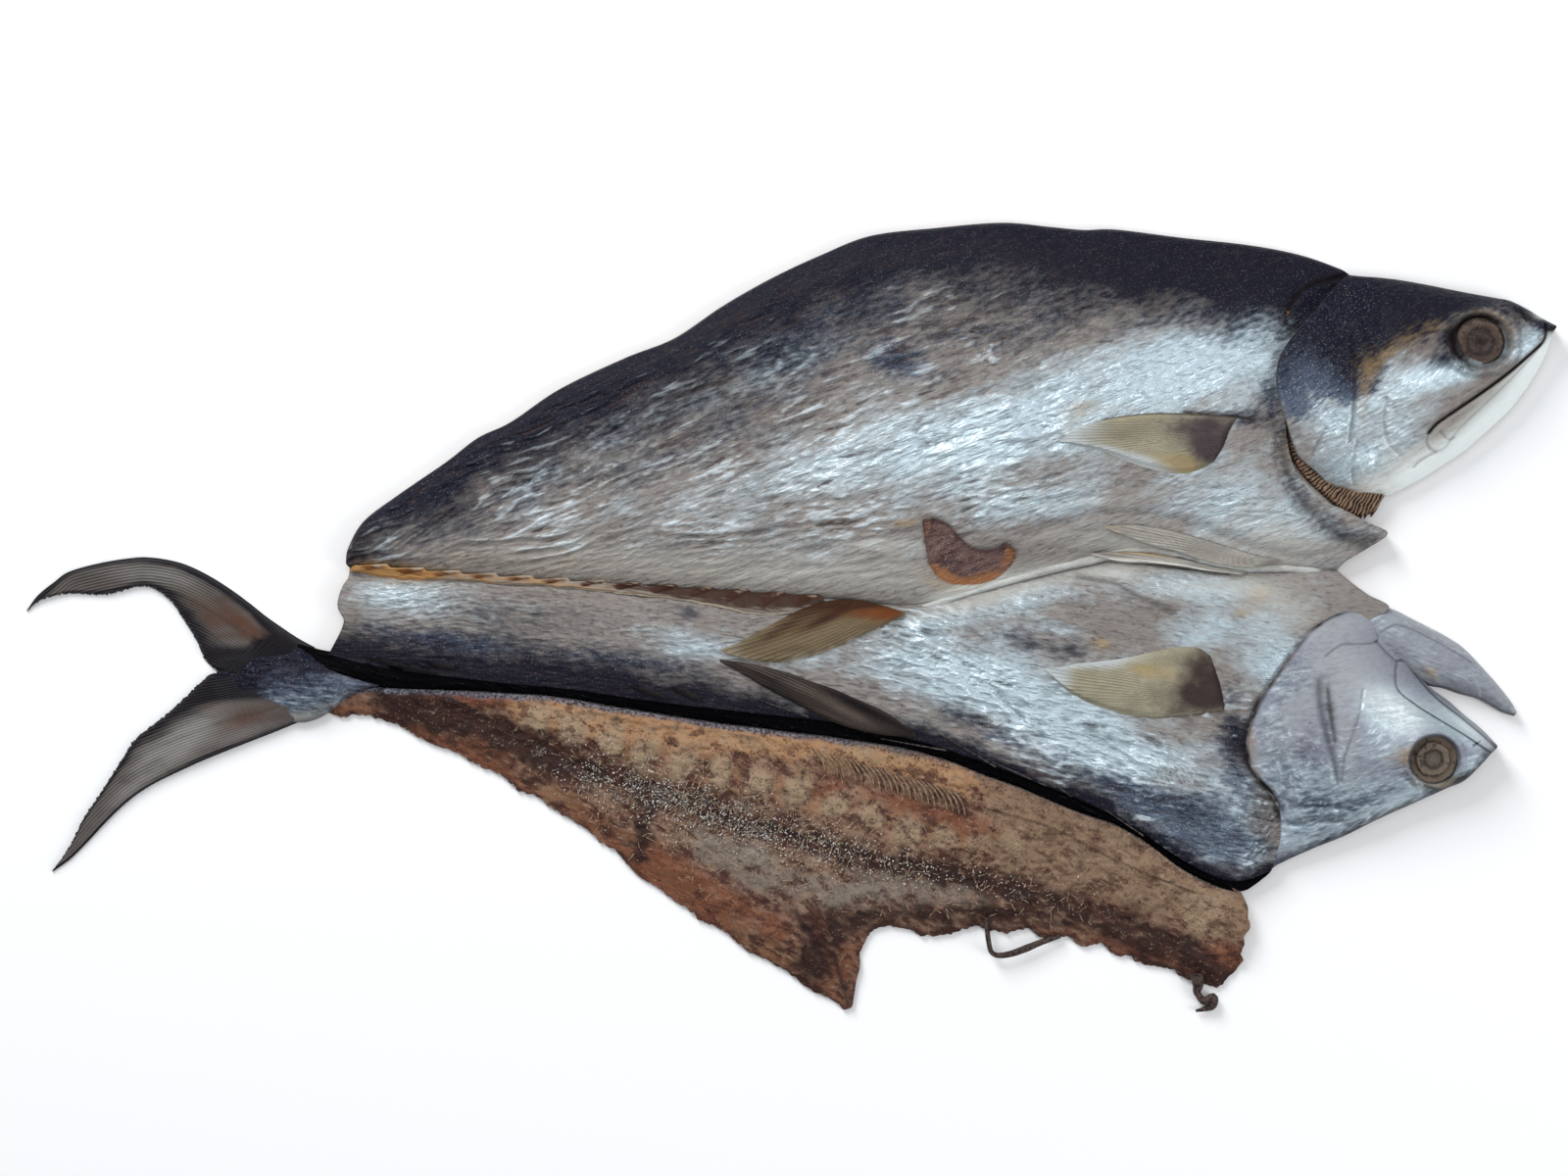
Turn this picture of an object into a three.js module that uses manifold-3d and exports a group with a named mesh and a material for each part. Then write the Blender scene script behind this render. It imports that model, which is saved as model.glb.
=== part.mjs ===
// A whole queenfish, split along the back, salted and dried, lying opened out with its skin up.
//
// The knife made three leaves that still hang together: the two sides, joined along the belly and each
// carrying half of the head, and a middle leaf with the backbone and the flesh of the back, which is
// folded out past the ridge of the back and still carries the tail. The fins lie flat on the skin.
//
// Units are millimetres. +X runs from the tail to the snouts, +Y from the middle leaf to the right
// side's back, +Z up. The origin is the middle of the footprint, on the surface the fish lies on.

import * as THREE from "three";
import { mergeVertices } from "three/addons/utils/BufferGeometryUtils.js";
import Module from "manifold-3d";

const wasm = await Module();
wasm.setup();

// Driving dimensions.
const SIDE_THICKNESS = 12; // flesh and skin of a side at its thickest
const HEAD_THICKNESS = 19; // half a head, over the cheek
const LEAF_THICKNESS = 10; // middle leaf, over the backbone
const TAIL_ROOT_THICKNESS = 9;
const TAIL_BLADE = 2; // rays and membrane of the tail fin
const FIN_BLADE = 1.1; // a folded fin on the skin
const CUT_EDGE = 3.2; // edge of a leaf where the knife left it
const GAP = 0.5; // clearance between a piece and its neighbour
const JAW_THICKNESS = 11; // lower jaw that hangs free of the left cheek
const EYE_RADIUS = 7.4;
const EYE_HEIGHT = 13; // middle of an eyeball
const EYE_FLATNESS = 0.55; // a dried eye is sunken flat
const GILL_HEIGHT = 7;
const RIB_RADIUS = 0.8;

const FLOOR = 0;
const JOINT_LAP = 1.2; // how far two patches of one solid run into each other
const TAIL_END_SHARE = 0.45; // thickness of a side at its tail end, as a share of the full thickness
const GILL_COVER_RISE = 0.22; // where on its arch a head half starts, at the gill cover
const JAW_RISE = 0.15; // the same for the free lower jaw

// ---------------------------------------------------------------------------------------------------
// Outlines, seen from above. Lists that bound one leaf have the same number of points, so that point N
// of one is straight across the leaf from point N of the other.

const belly = [
  [-133.5, 15.3], [-122, 15], [-112, 14.2], [-98, 12.6], [-84, 11.6], [-70, 10.8], [-55, 9.8],
  [-38, 8.4], [-20, 7.2], [-2, 6.2], [15, 5], [30, 3.2], [46, 4.8], [64, 9.2], [84, 15.4],
  [104, 18.6], [124, 16.2], [143, 14], [158, 14.3], [167, 14],
];
const rightBack = [
  [-135, 20], [-131, 28], [-122, 35.5], [-109, 44.5], [-96, 54.5], [-86, 58.5], [-72, 68],
  [-50, 79], [-31, 87.5], [-10, 100.5], [12, 111.5], [28, 116.5], [46, 118.6], [66, 120.3],
  [85, 118.6], [105, 118], [125, 115.2], [143, 113], [157, 110.6], [172, 105],
];
const leftRidge = [
  [-140.5, -11], [-127, -19.6], [-112, -21.4], [-98, -22], [-84, -22.8], [-70, -23.8], [-55, -26],
  [-38, -28.8], [-20, -31.6], [-2, -33.2], [15, -35.4], [30, -37.8], [46, -41.6], [62, -47],
  [78, -53], [94, -59.2], [108, -65.2], [120, -73.2], [130, -79.8], [141, -80.4],
];
const leafTop = [
  [-129, -21.9], [-118, -22], [-104, -22.4], [-90, -23.1], [-75, -24.1], [-60, -25.8], [-46, -28],
  [-33, -30.3], [-18, -32.5], [-4, -33.9], [8, -35.1], [17, -36.4], [24, -37.5], [30, -38.5],
  [38, -40.2], [50, -43.5], [62, -47.7], [73, -51.8], [84, -56], [96, -60.6], [107, -65.4],
  [118, -72.5], [128, -79.3], [138, -83],
];
const leafBottom = [
  [-139.5, -30.2], [-125, -31.6], [-110, -38.3], [-96, -44.8], [-82, -53.6], [-68, -61.2],
  [-54, -70.4], [-45, -79.6], [-30, -89.8], [-15, -99.2], [2, -110.4], [18.6, -120.3],
  [19.8, -113], [21.5, -103], [29, -94.8], [43, -97.4], [57, -94.8], [70, -96.6], [83, -98],
  [96, -101.5], [108, -105], [118, -109.5], [125, -112], [131, -113.5],
];
const leafNeckEnd = [[131, -113.5], [136.5, -108], [139, -98], [139.6, -91], [138, -83]];

// The shoulder is the front edge of a side, behind the gill opening, from the chest up.
const rightShoulder = [
  [167, 14], [174, 19], [182.5, 24.5], [173, 28], [165, 33], [158, 39.5], [152, 48.5], [148.6, 58],
  [146.6, 68], [148.6, 78], [156, 88], [163, 97], [172, 105],
];
const leftShoulder = [[141, -80.4], [152, -60], [156, -40], [160, -20], [168, 0], [167, 14]];

// Each head half: its profile from the nape to the snout, its throat, and the edge of its gill cover.
const rightProfile = [[171, 104.5], [185, 103.5], [200, 100.8], [213, 98.6], [225, 95], [233.1, 90]];
const rightThroat = [[168, 36.8], [182, 36], [198, 45], [213, 56], [226, 71], [232.6, 86.5]];
const rightGillCover = [
  [168, 36.8], [161, 41.5], [155, 48], [151.5, 56], [149.4, 64], [149.6, 73], [154, 82], [157, 92],
  [163, 100], [171, 104.5],
];
const leftProfile = [[139, -80.3], [152, -74.6], [170, -66.5], [188, -57.5], [203, -51], [213, -41.5]];
const leftGape = [[172, 0.5], [180, -7], [188, -15.5], [198, -24.6], [208, -31.2], [215.2, -37.8]];
const leftGillCover = [
  [139, -80.3], [147, -60], [141, -46], [139.4, -36], [142, -27], [149, -17], [156, -8], [164, -1.5],
  [172, 0.5],
];
const leftThroat = [[166, 3], [176, 5.4], [190, 0.4], [204, -5.6], [214, -14], [222, -26.5]];
const leftJawRim = [[168, -6], [178, -13], [189, -18], [200, -21.8], [210, -26], [220.5, -30.4]];

const tailOutline = [
  [-141.6, -11.2], [-149, -9], [-157, -3], [-168, 6.5], [-180, 14], [-193, 18.2], [-207, 17.2],
  [-221, 12.6], [-229, 7], [-233.1, 2], [-226, 5.8], [-213, 6.4], [-203, 6.6], [-193, 2.4],
  [-184, -4.6], [-178.6, -12], [-176.6, -17], [-182, -22.4], [-191, -30], [-200, -38.4],
  [-209, -50.4], [-217, -63.5], [-225.5, -78.5], [-214, -68], [-202, -55.8], [-188, -48],
  [-170, -40.6], [-156, -35], [-147, -32.2], [-141, -30.9],
];
const tailRootTop = [[-170, -9], [-158, -9], [-148, -10.6], [-141.6, -11.6], [-129.6, -20.8]];
const tailRootBottom = [[-170, -27], [-158, -31.6], [-148, -32], [-141, -30.6], [-130.6, -22]];

// ---------------------------------------------------------------------------------------------------
// Helpers.

const curve = (points) => new THREE.SplineCurve(points.map(([x, y]) => new THREE.Vector2(x, y)));

// A patch bounded by four curves; u runs along the fish and v across it.
function patch(bottom, top, left, right) {
  const [b, t] = [curve(bottom), curve(top)];
  const l = left ? curve(left) : new THREE.LineCurve(b.getPoint(0), t.getPoint(0));
  const r = right ? curve(right) : new THREE.LineCurve(b.getPoint(1), t.getPoint(1));
  const corners = [b.getPoint(0), b.getPoint(1), t.getPoint(0), t.getPoint(1)];
  return (u, v) => {
    const p = b.getPoint(u).multiplyScalar(1 - v).addScaledVector(t.getPoint(u), v);
    p.addScaledVector(l.getPointAt(v), 1 - u).addScaledVector(r.getPointAt(v), u);
    p.addScaledVector(corners[0], -(1 - u) * (1 - v)).addScaledVector(corners[1], -u * (1 - v));
    return p.addScaledVector(corners[2], -(1 - u) * v).addScaledVector(corners[3], -u * v);
  };
}

// A slab over a patch, from base(point) up to base + thickness(u, v).
function slab(alongSteps, acrossSteps, place, thickness, base = () => FLOOR) {
  const box = new THREE.BoxGeometry(1, 1, 1, alongSteps, acrossSteps, 1);
  const corner = box.attributes.position;
  for (let i = 0; i < corner.count; i++) {
    const [u, v] = [corner.getX(i) + 0.5, corner.getY(i) + 0.5];
    const point = place(u, v);
    const height = corner.getZ(i) > 0 ? thickness(u, v) : 0;
    corner.setXYZ(i, point.x, point.y, base(point) + height);
  }
  return box;
}

function solid(geometry) {
  geometry.deleteAttribute("normal");
  geometry.deleteAttribute("uv");
  const merged = mergeVertices(geometry, 1e-4);
  const vertProperties = new Float32Array(merged.attributes.position.array);
  const triVerts = new Uint32Array(merged.index.array);
  return new wasm.Manifold(new wasm.Mesh({ numProp: 3, vertProperties, triVerts }));
}

function geometryOf(made) {
  const mesh = made.getMesh();
  const geometry = new THREE.BufferGeometry();
  geometry.setAttribute("position", new THREE.BufferAttribute(mesh.vertProperties, 3));
  geometry.setIndex(new THREE.BufferAttribute(mesh.triVerts, 1));
  return geometry.toNonIndexed();
}

const fish = new THREE.Group();

function add(name, made, material) {
  const geometry = geometryOf(made);
  geometry.computeVertexNormals();
  const mesh = new THREE.Mesh(geometry, material);
  mesh.name = name;
  fish.add(mesh);
  return mesh;
}

// 0 at both ends of a 0..1 range and 1 in the middle; a higher power has steeper ends.
const arch = (t, power = 0.5) => Math.pow(Math.max(0, Math.sin(Math.PI * t)), power);

const look = (color, roughness, metalness = 0) =>
  new THREE.MeshStandardMaterial({ color, roughness, metalness });
const skin = look(0x8d949c, 0.4, 0.5);
const flesh = look(0x7a563c, 0.75);
const darkFin = look(0x2a2624, 0.5);
const paleFin = look(0x9a8a66, 0.5);
const eyeball = look(0x5c5046, 0.3);
const gill = look(0x6b4a34, 0.85);
const bone = look(0x3a302a, 0.6);

// ---------------------------------------------------------------------------------------------------
// The two sides, one sheet joined along the belly, with the two halves of the head.

// Height over the floor of a leaf that swells from its cut edges to a full thickness.
const swell = (full, share) => CUT_EDGE + (full - CUT_EDGE) * share;

// A side is thickest two thirds of the way to the head.
function sideHeight(u, v) {
  const alongShare = TAIL_END_SHARE + (1 - TAIL_END_SHARE) * Math.sin((Math.PI / 2) * (u / 0.75));
  return swell(SIDE_THICKNESS, arch(v, 0.45) * alongShare);
}

// A head half starts part-way up its arch at the gill cover and runs out at the snout.
const risen = (u, rise) => arch(rise + (1 - rise) * u);
const headHeight = (u, v) => swell(HEAD_THICKNESS, arch(v) * risen(u, GILL_COVER_RISE));
const jawHeight = (u, v) => swell(JAW_THICKNESS, arch(v) * risen(u, JAW_RISE));

const shifted = (points, by) => points.map(([x, y]) => [x, y + by]);

const rightSide = patch(belly, rightBack, null, rightShoulder);
const leftSide = patch(leftRidge, shifted(belly, JOINT_LAP), null, leftShoulder);
const rightHead = patch(rightThroat, rightProfile, rightGillCover, null);
const leftHead = patch(leftProfile, leftGape, leftGillCover, null);
const leftJaw = patch(leftJawRim, leftThroat, null, null);

const eyePlaces = { right_eye: [210.5, 85], left_eye: [197, -43.5] };

function eyeSolid([x, y], clearance) {
  const ball = new THREE.SphereGeometry(EYE_RADIUS + clearance, 20, 10);
  return solid(ball.scale(1, 1, EYE_FLATNESS).translate(x, y, EYE_HEIGHT));
}

function eyeSocket(place) {
  const mouth = new THREE.CylinderGeometry(EYE_RADIUS + GAP, EYE_RADIUS + GAP, HEAD_THICKNESS, 20);
  mouth.rotateX(Math.PI / 2).translate(place[0], place[1], EYE_HEIGHT + HEAD_THICKNESS / 2);
  return eyeSolid(place, GAP).add(solid(mouth));
}

let sides = solid(slab(36, 9, rightSide, sideHeight))
  .add(solid(slab(36, 8, leftSide, sideHeight)))
  .add(solid(slab(12, 10, rightHead, headHeight)))
  .add(solid(slab(12, 10, leftHead, headHeight)))
  .add(solid(slab(10, 5, leftJaw, jawHeight)));
for (const place of Object.values(eyePlaces)) sides = sides.subtract(eyeSocket(place));
const sidesMesh = add("split_sides", sides, skin);
for (const [name, place] of Object.entries(eyePlaces)) add(name, eyeSolid(place, 0), eyeball);

// ---------------------------------------------------------------------------------------------------
// The middle leaf: backbone and back flesh, cut free on both faces.

// The leaf is thickest over the backbone, three quarters of the way up to the ridge of the back.
function leafHeight(u, v) {
  const acrossShare = Math.sin(Math.PI * (0.1 + 0.55 * v));
  return swell(LEAF_THICKNESS, acrossShare * (0.75 + 0.25 * arch(u)));
}
const leaf = patch(leafBottom, leafTop, null, leafNeckEnd);
add("backbone_leaf", solid(slab(46, 8, leaf, leafHeight)), flesh);

// The tail: skin-covered root and forked fin.
const tailShape = new THREE.Shape(curve(tailOutline).getPoints(90));
const tailBlade = new THREE.ExtrudeGeometry(tailShape, { depth: TAIL_BLADE, bevelEnabled: false });
function tailRootHeight(u, v) {
  const fullThicknessFrom = 0.45;
  const share = arch(v) * Math.min(1, u / fullThicknessFrom);
  return TAIL_BLADE + (TAIL_ROOT_THICKNESS - TAIL_BLADE) * share;
}
const tailRoot = slab(8, 4, patch(tailRootBottom, tailRootTop), tailRootHeight);
add("tail", solid(tailBlade).add(solid(tailRoot)), darkFin);

// ---------------------------------------------------------------------------------------------------
// Fins folded flat on the skin. Each is a thin blade that follows the skin below it.

const ray = new THREE.Raycaster();
const down = new THREE.Vector3(0, 0, -1);
function onSkin(point) {
  ray.set(new THREE.Vector3(point.x, point.y, 2 * HEAD_THICKNESS), down);
  const hit = ray.intersectObject(sidesMesh)[0];
  return (hit ? hit.point.z : FLOOR) + GAP;
}

function fin(name, material, lower, upper) {
  const blade = slab(10, 4, patch(lower, upper), () => FIN_BLADE, onSkin);
  add(name, solid(blade), material);
}

// A row of finlets along a low fleshy base: every finlet points to the tail and stands out there.
const FINLET_STEPS = 3;
const FINLET_REACH = 1.6;
function finletRow(name, material, count, lower, upper) {
  const base = patch(lower, upper);
  const place = (u, v) => {
    const point = base(u, v);
    const alongOneFinlet = (u * count) % 1;
    point.y -= FINLET_REACH * (1 - alongOneFinlet) * (1 - v);
    return point;
  };
  const blade = slab(count * FINLET_STEPS, 3, place, () => FIN_BLADE, onSkin);
  add(name, solid(blade), material);
}

fin(
  "right_pectoral_fin",
  paleFin,
  [[79, 52.4], [95, 50], [112, 44.6], [126, 43.6], [132, 50]],
  [[79, 54], [92, 59.4], [108, 61.6], [126, 61], [139, 60]],
);
fin(
  "left_pectoral_fin",
  paleFin,
  [[79, -22], [92, -27], [106, -30.2], [121, -30.6], [134, -29]],
  [[79, -20], [90, -13.6], [104, -9.6], [118, -8.4], [127, -10]],
);
fin(
  "right_pelvic_fin",
  paleFin,
  [[97, 26], [110, 23], [124, 20], [141, 17]],
  [[97, 27.4], [112, 26.8], [126, 24], [142, 19]],
);
fin(
  "left_pelvic_fin",
  paleFin,
  [[107, 20], [118, 18.2], [130, 15.6], [142, 13.4]],
  [[107, 21.4], [118, 20.2], [130, 17.6], [142, 15.4]],
);
fin(
  "anal_fin",
  paleFin,
  [[-18, -13], [-4, -14.4], [10, -10.6], [22, -5.4], [33, 0.4]],
  [[-18, -11.6], [-6, -6], [8, 0], [20, 3], [32, 2.6]],
);
fin(
  "dorsal_fin",
  darkFin,
  [[-24, -23], [-8, -26.6], [8, -29.4], [24, -32], [40, -34.6]],
  [[-26, -13.4], [-8, -16], [8, -18.8], [24, -24.4], [40, -33]],
);
finletRow(
  "anal_finlets",
  paleFin,
  10,
  [[-128, 13], [-100, 11.2], [-70, 9], [-40, 6.4], [-14, 4]],
  [[-128, 15.8], [-100, 13.8], [-70, 11.4], [-40, 8.8], [-14, 6.4]],
);
finletRow(
  "dorsal_finlets",
  darkFin,
  9,
  [[-134, -14], [-112, -17], [-80, -19.4], [-56, -21.4], [-30, -24.6]],
  [[-134, -11.6], [-112, -14.2], [-80, -17.4], [-56, -18.8], [-30, -20.6]],
);

// ---------------------------------------------------------------------------------------------------
// Gill filaments in the open gill slit of the right side, and a rib that has come loose from the leaf.

const filamentRoot = [[153.4, 53.6], [158, 45.4], [164.6, 39.6], [170.6, 35.6], [181, 33.6]];
const filamentTips = [[151, 51.6], [155, 44.6], [160.6, 38.8], [167.6, 33.2], [178, 29.6]];
const SLIT_CLEARANCE = 0.35;
const wallUnderSide = solid(slab(36, 9, rightSide, () => 2 * HEAD_THICKNESS));
const slit = solid(slab(10, 2, patch(filamentTips, filamentRoot), () => GILL_HEIGHT))
  .subtract(wallUnderSide.translate(SLIT_CLEARANCE, SLIT_CLEARANCE, 0))
  .subtract(sides.translate(SLIT_CLEARANCE, -SLIT_CLEARANCE, 0))
  .subtract(sides.translate(-SLIT_CLEARANCE, -SLIT_CLEARANCE, 0));
const comb = slit.decompose().sort((a, b) => b.volume() - a.volume())[0];
add("gill_filaments", comb, gill);

const ribPath = new THREE.CatmullRomCurve3(
  [[60.6, -96.6], [60.4, -100], [61.6, -103], [66, -102.9], [73, -101.4], [80, -99]].map(
    ([x, y]) => new THREE.Vector3(x, y, RIB_RADIUS + 0.1),
  ),
);
const ribSection = new THREE.Shape().absarc(0, 0, RIB_RADIUS, 0, 2 * Math.PI);
add(
  "loose_rib",
  solid(new THREE.ExtrudeGeometry(ribSection, { steps: 24, curveSegments: 4, extrudePath: ribPath })),
  bone,
);

export default fish;
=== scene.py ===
"""A whole queenfish, split along the back, salted and dried, and opened out flat with its skin up."""
import math

import bmesh
import bpy
import numpy as np
from mathutils import Matrix, Vector


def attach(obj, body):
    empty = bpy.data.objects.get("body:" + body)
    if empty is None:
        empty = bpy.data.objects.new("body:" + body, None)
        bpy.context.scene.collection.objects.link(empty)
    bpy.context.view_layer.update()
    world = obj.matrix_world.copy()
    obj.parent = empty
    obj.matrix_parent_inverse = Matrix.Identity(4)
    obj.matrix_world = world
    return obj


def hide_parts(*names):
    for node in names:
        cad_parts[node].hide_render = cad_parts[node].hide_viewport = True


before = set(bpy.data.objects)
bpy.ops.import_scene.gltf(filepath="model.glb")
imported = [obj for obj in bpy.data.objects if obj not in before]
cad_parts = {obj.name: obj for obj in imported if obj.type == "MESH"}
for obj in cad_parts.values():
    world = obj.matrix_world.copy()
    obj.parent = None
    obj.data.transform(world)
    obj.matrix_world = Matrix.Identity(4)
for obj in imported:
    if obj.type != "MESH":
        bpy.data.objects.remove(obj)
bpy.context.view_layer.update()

MM = 0.001


# ---------------------------------------------------------------------------------------------
# The table the fish is looked at on: a plain pale floor, a soft ceiling light and a camera
# that looks straight down.

VIEW_HEIGHT = 1.5
VIEW_WIDTH = 0.480
VIEW_CENTRE = (-0.0015, 0.0087)
SENSOR = 36.0


def soft_light(name, place, size, watts, colour=(1.0, 1.0, 1.0)):
    lamp = bpy.data.lights.new(name, "AREA")
    lamp.shape = "RECTANGLE"
    lamp.size, lamp.size_y = size
    lamp.energy = watts
    lamp.color = colour
    stand = bpy.data.objects.new(name, lamp)
    stand.location = place
    stand.rotation_euler = (-Vector(place)).to_track_quat("-Z", "Y").to_euler()
    bpy.context.scene.collection.objects.link(stand)


soft_light("window_light", (-0.55, 0.95, 0.85), (0.5, 0.8), 15.0, (0.96, 0.98, 1.0))
soft_light("ceiling_light", (0.1, 0.15, 1.9), (1.6, 1.2), 8.5)
soft_light("side_light", (0.95, -0.35, 0.8), (0.4, 0.8), 5.0, (0.96, 0.98, 1.0))

eye = bpy.data.cameras.new("overhead_camera")
eye.sensor_width = SENSOR
eye.lens = SENSOR * VIEW_HEIGHT / VIEW_WIDTH
camera = bpy.data.objects.new("overhead_camera", eye)
camera.location = (VIEW_CENTRE[0], VIEW_CENTRE[1], VIEW_HEIGHT)
bpy.context.scene.collection.objects.link(camera)
bpy.context.scene.camera = camera
bpy.context.scene.view_settings.view_transform = "Standard"

sky = bpy.data.worlds.new("studio")
sky.use_nodes = True
sky.node_tree.nodes["Background"].inputs["Color"].default_value = (0.92, 0.95, 1.0, 1.0)
sky.node_tree.nodes["Background"].inputs["Strength"].default_value = 0.30
bpy.context.scene.world = sky

table = bmesh.new()
bmesh.ops.create_grid(table, x_segments=1, y_segments=1, size=3.0)
bmesh.ops.translate(table, vec=(0, 0, -0.0002), verts=table.verts)
table_mesh = bpy.data.meshes.new("floor")
table.to_mesh(table_mesh)
table.free()
floor = bpy.data.objects.new("floor", table_mesh)
bpy.context.scene.collection.objects.link(floor)
paper = bpy.data.materials.new("pale_paper")
paper.use_nodes = True
paper.node_tree.nodes["Principled BSDF"].inputs["Base Color"].default_value = (0.97, 0.97, 0.97, 1.0)
paper.node_tree.nodes["Principled BSDF"].inputs["Roughness"].default_value = 0.9
table_mesh.materials.append(paper)


# ---------------------------------------------------------------------------------------------
# The right side: half of the body, skin up, from the cut tail end to the gill slit. The skin has
# dried into fine slanting folds over the flesh, is navy to black along the back and silver below.

BELLY_LINE = [(-134, 14.9), (-122, 14.6), (-112, 13.6), (-98, 12.4), (-84, 11.2), (-70, 10.6),
              (-55, 9.4), (-38, 8.2), (-20, 6.6), (-2, 5.8), (15, 4.9), (33, 3.2), (46, 4.6),
              (64, 9.6), (84, 15.0), (104, 18.6), (124, 16.4), (143, 14.2), (158, 14.4), (167, 13.8)]
RIGHT_BACK = [(-135.3, 16.5), (-134.6, 21), (-130, 29), (-120, 36.7), (-105, 47), (-95, 54.6),
              (-85, 59.4), (-70, 69.5), (-50, 79), (-35, 85), (-20, 95), (-5, 103.5), (10, 110.5),
              (25, 116.3), (45, 118.7), (65, 120.3), (80, 119), (90, 118.1), (100, 118.2),
              (120, 115.7), (140, 113.5), (155, 110.7), (168, 106.5), (172, 104)]
RIGHT_SHOULDER = [(167, 13.8), (170, 17), (176, 20.6), (182.3, 25.4), (176, 28.6), (171, 31.4),
                  (167.8, 33), (162.8, 35.2), (157.2, 39.6), (153.4, 46.4), (151.6, 55), (151, 65),
                  (152, 76), (158, 88), (165, 97), (172, 104)]
SIDE_CROWN = 9.0
SIDE_EDGE = 3.0
SKIN_DEPTH = 0.9


def smooth(low, high, value):
    """0 below low, 1 above high, and a soft step between."""
    t = np.clip((value - low) / (high - low), 0.0, 1.0)
    return t * t * (3 - 2 * t)


def line_through(points, count=400):
    """A soft curve through the points, as evenly spaced points along it."""
    p = np.array(points, float)
    p = np.vstack([2 * p[0] - p[1], p, 2 * p[-1] - p[-2]])
    t = np.linspace(0, 1, 24, endpoint=False)[:, None]
    spans = [0.5 * (2 * b + (c - a) * t + (2 * a - 5 * b + 4 * c - d) * t ** 2
                    + (3 * b - a - 3 * c + d) * t ** 3)
             for a, b, c, d in zip(p, p[1:], p[2:], p[3:])]
    dense = np.vstack(spans + [p[-2:-1]])
    run = np.concatenate([[0], np.cumsum(np.linalg.norm(np.diff(dense, axis=0), axis=1))])
    even = np.linspace(0, run[-1], count)
    return np.column_stack([np.interp(even, run, column) for column in dense.T])


def along_line(line, share):
    at = np.linspace(0, 1, len(line))
    return np.stack([np.interp(share, at, column) for column in line.T])


def leaf_between(bottom, top, left=None, right=None):
    """Where a point of a leaf lies: u runs from left to right and v from bottom to top."""
    low, high = line_through(bottom), line_through(top)
    west = line_through(left) if left else np.linspace(low[0], high[0], 400)
    east = line_through(right) if right else np.linspace(low[-1], high[-1], 400)

    def place(u, v):
        x, y = (along_line(low, u) * (1 - v) + along_line(high, u) * v
                + along_line(west, v) * (1 - u) + along_line(east, v) * u
                - np.outer(low[0], (1 - u) * (1 - v)) - np.outer(low[-1], u * (1 - v))
                - np.outer(high[0], (1 - u) * v) - np.outer(high[-1], u * v))
        return x, y

    return place


TURNS = np.random.default_rng(11).permutation(256)


def swell(x, y, kind=0):
    """Soft random humps and hollows, one to a unit, from about -1 to 1."""
    cell_x, cell_y = np.floor(x).astype(int), np.floor(y).astype(int)
    in_x, in_y = x - cell_x, y - cell_y

    def slope(dx, dy):
        turn = TURNS[(TURNS[(cell_x + dx + 37 * kind) & 255] + cell_y + dy) & 255] * math.tau / 256
        return np.cos(turn) * (in_x - dx) + np.sin(turn) * (in_y - dy)

    ease_x = in_x ** 3 * (in_x * (in_x * 6 - 15) + 10)
    ease_y = in_y ** 3 * (in_y * (in_y * 6 - 15) + 10)
    low = slope(0, 0) * (1 - ease_x) + slope(1, 0) * ease_x
    high = slope(0, 1) * (1 - ease_x) + slope(1, 1) * ease_x
    return 1.5 * (low * (1 - ease_y) + high * ease_y)


def rough(x, y, size, octaves=4, kind=0):
    """Humps of the given size in mm with finer ones on them."""
    return sum(swell(x / size * 2 ** n, y / size * 2 ** n, kind + n) / 1.8 ** n
               for n in range(octaves)) / 1.6


def folds(x, y, slant, length, width, kind=0):
    """Creased skin: narrow crests that run at the slant, from 0 in the hollows to 1 on the crests."""
    slant = slant + 5 * swell(x / 45, y / 30, kind + 5)
    c, s = np.cos(np.radians(slant)), np.sin(np.radians(slant))
    a, b = x * c + y * s, y * c - x * s + 0.30 * width * swell(x / 22, y / 9, kind + 6)
    first = 1 - np.abs(swell(a / length, b / width, kind))
    second = 1 - np.abs(swell(a / length * 1.5, b / width * 1.9, kind + 1))
    third = 1 - np.abs(swell(a / length * 2.4, b / width * 3.3, kind + 2))
    return 0.50 * first ** 4 + 0.32 * second ** 4 + 0.18 * third ** 3


def spot(x, y, middle, size, slant=0.0):
    """A soft patch: 1 in its middle, falling off over size = (half length, half width)."""
    c, s = math.cos(math.radians(slant)), math.sin(math.radians(slant))
    a, b = (x - middle[0]) * c + (y - middle[1]) * s, (y - middle[1]) * c - (x - middle[0]) * s
    return np.exp(-(a / size[0]) ** 2 - (b / size[1]) ** 2)


def spots(x, y, patches):
    return np.clip(sum(strength * spot(x, y, middle, size, slant)
                       for middle, size, slant, strength in patches), 0, 1)


def away_from(line, x, y):
    """Distance in mm from a curve."""
    nearest = np.full(x.shape, 1e9)
    for a, b in zip(line, line[1:]):
        d = b - a
        t = np.clip(((x - a[0]) * d[0] + (y - a[1]) * d[1]) / max(d @ d, 1e-9), 0, 1)
        nearest = np.minimum(nearest, (x - a[0] - t * d[0]) ** 2 + (y - a[1] - t * d[1]) ** 2)
    return np.sqrt(nearest)


def groove(points, width, x, y):
    """1 on the line through the points, 0 a little more than width away from it."""
    line = line_through(points, 40)
    (west, south), (east, north) = line.min(axis=0) - 3 * width, line.max(axis=0) + 3 * width
    near = (x > west) & (x < east) & (y > south) & (y < north)
    depth = np.zeros(x.shape)
    depth[near] = np.exp(-(away_from(line, x[near], y[near]) / width) ** 2)
    return depth


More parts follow.
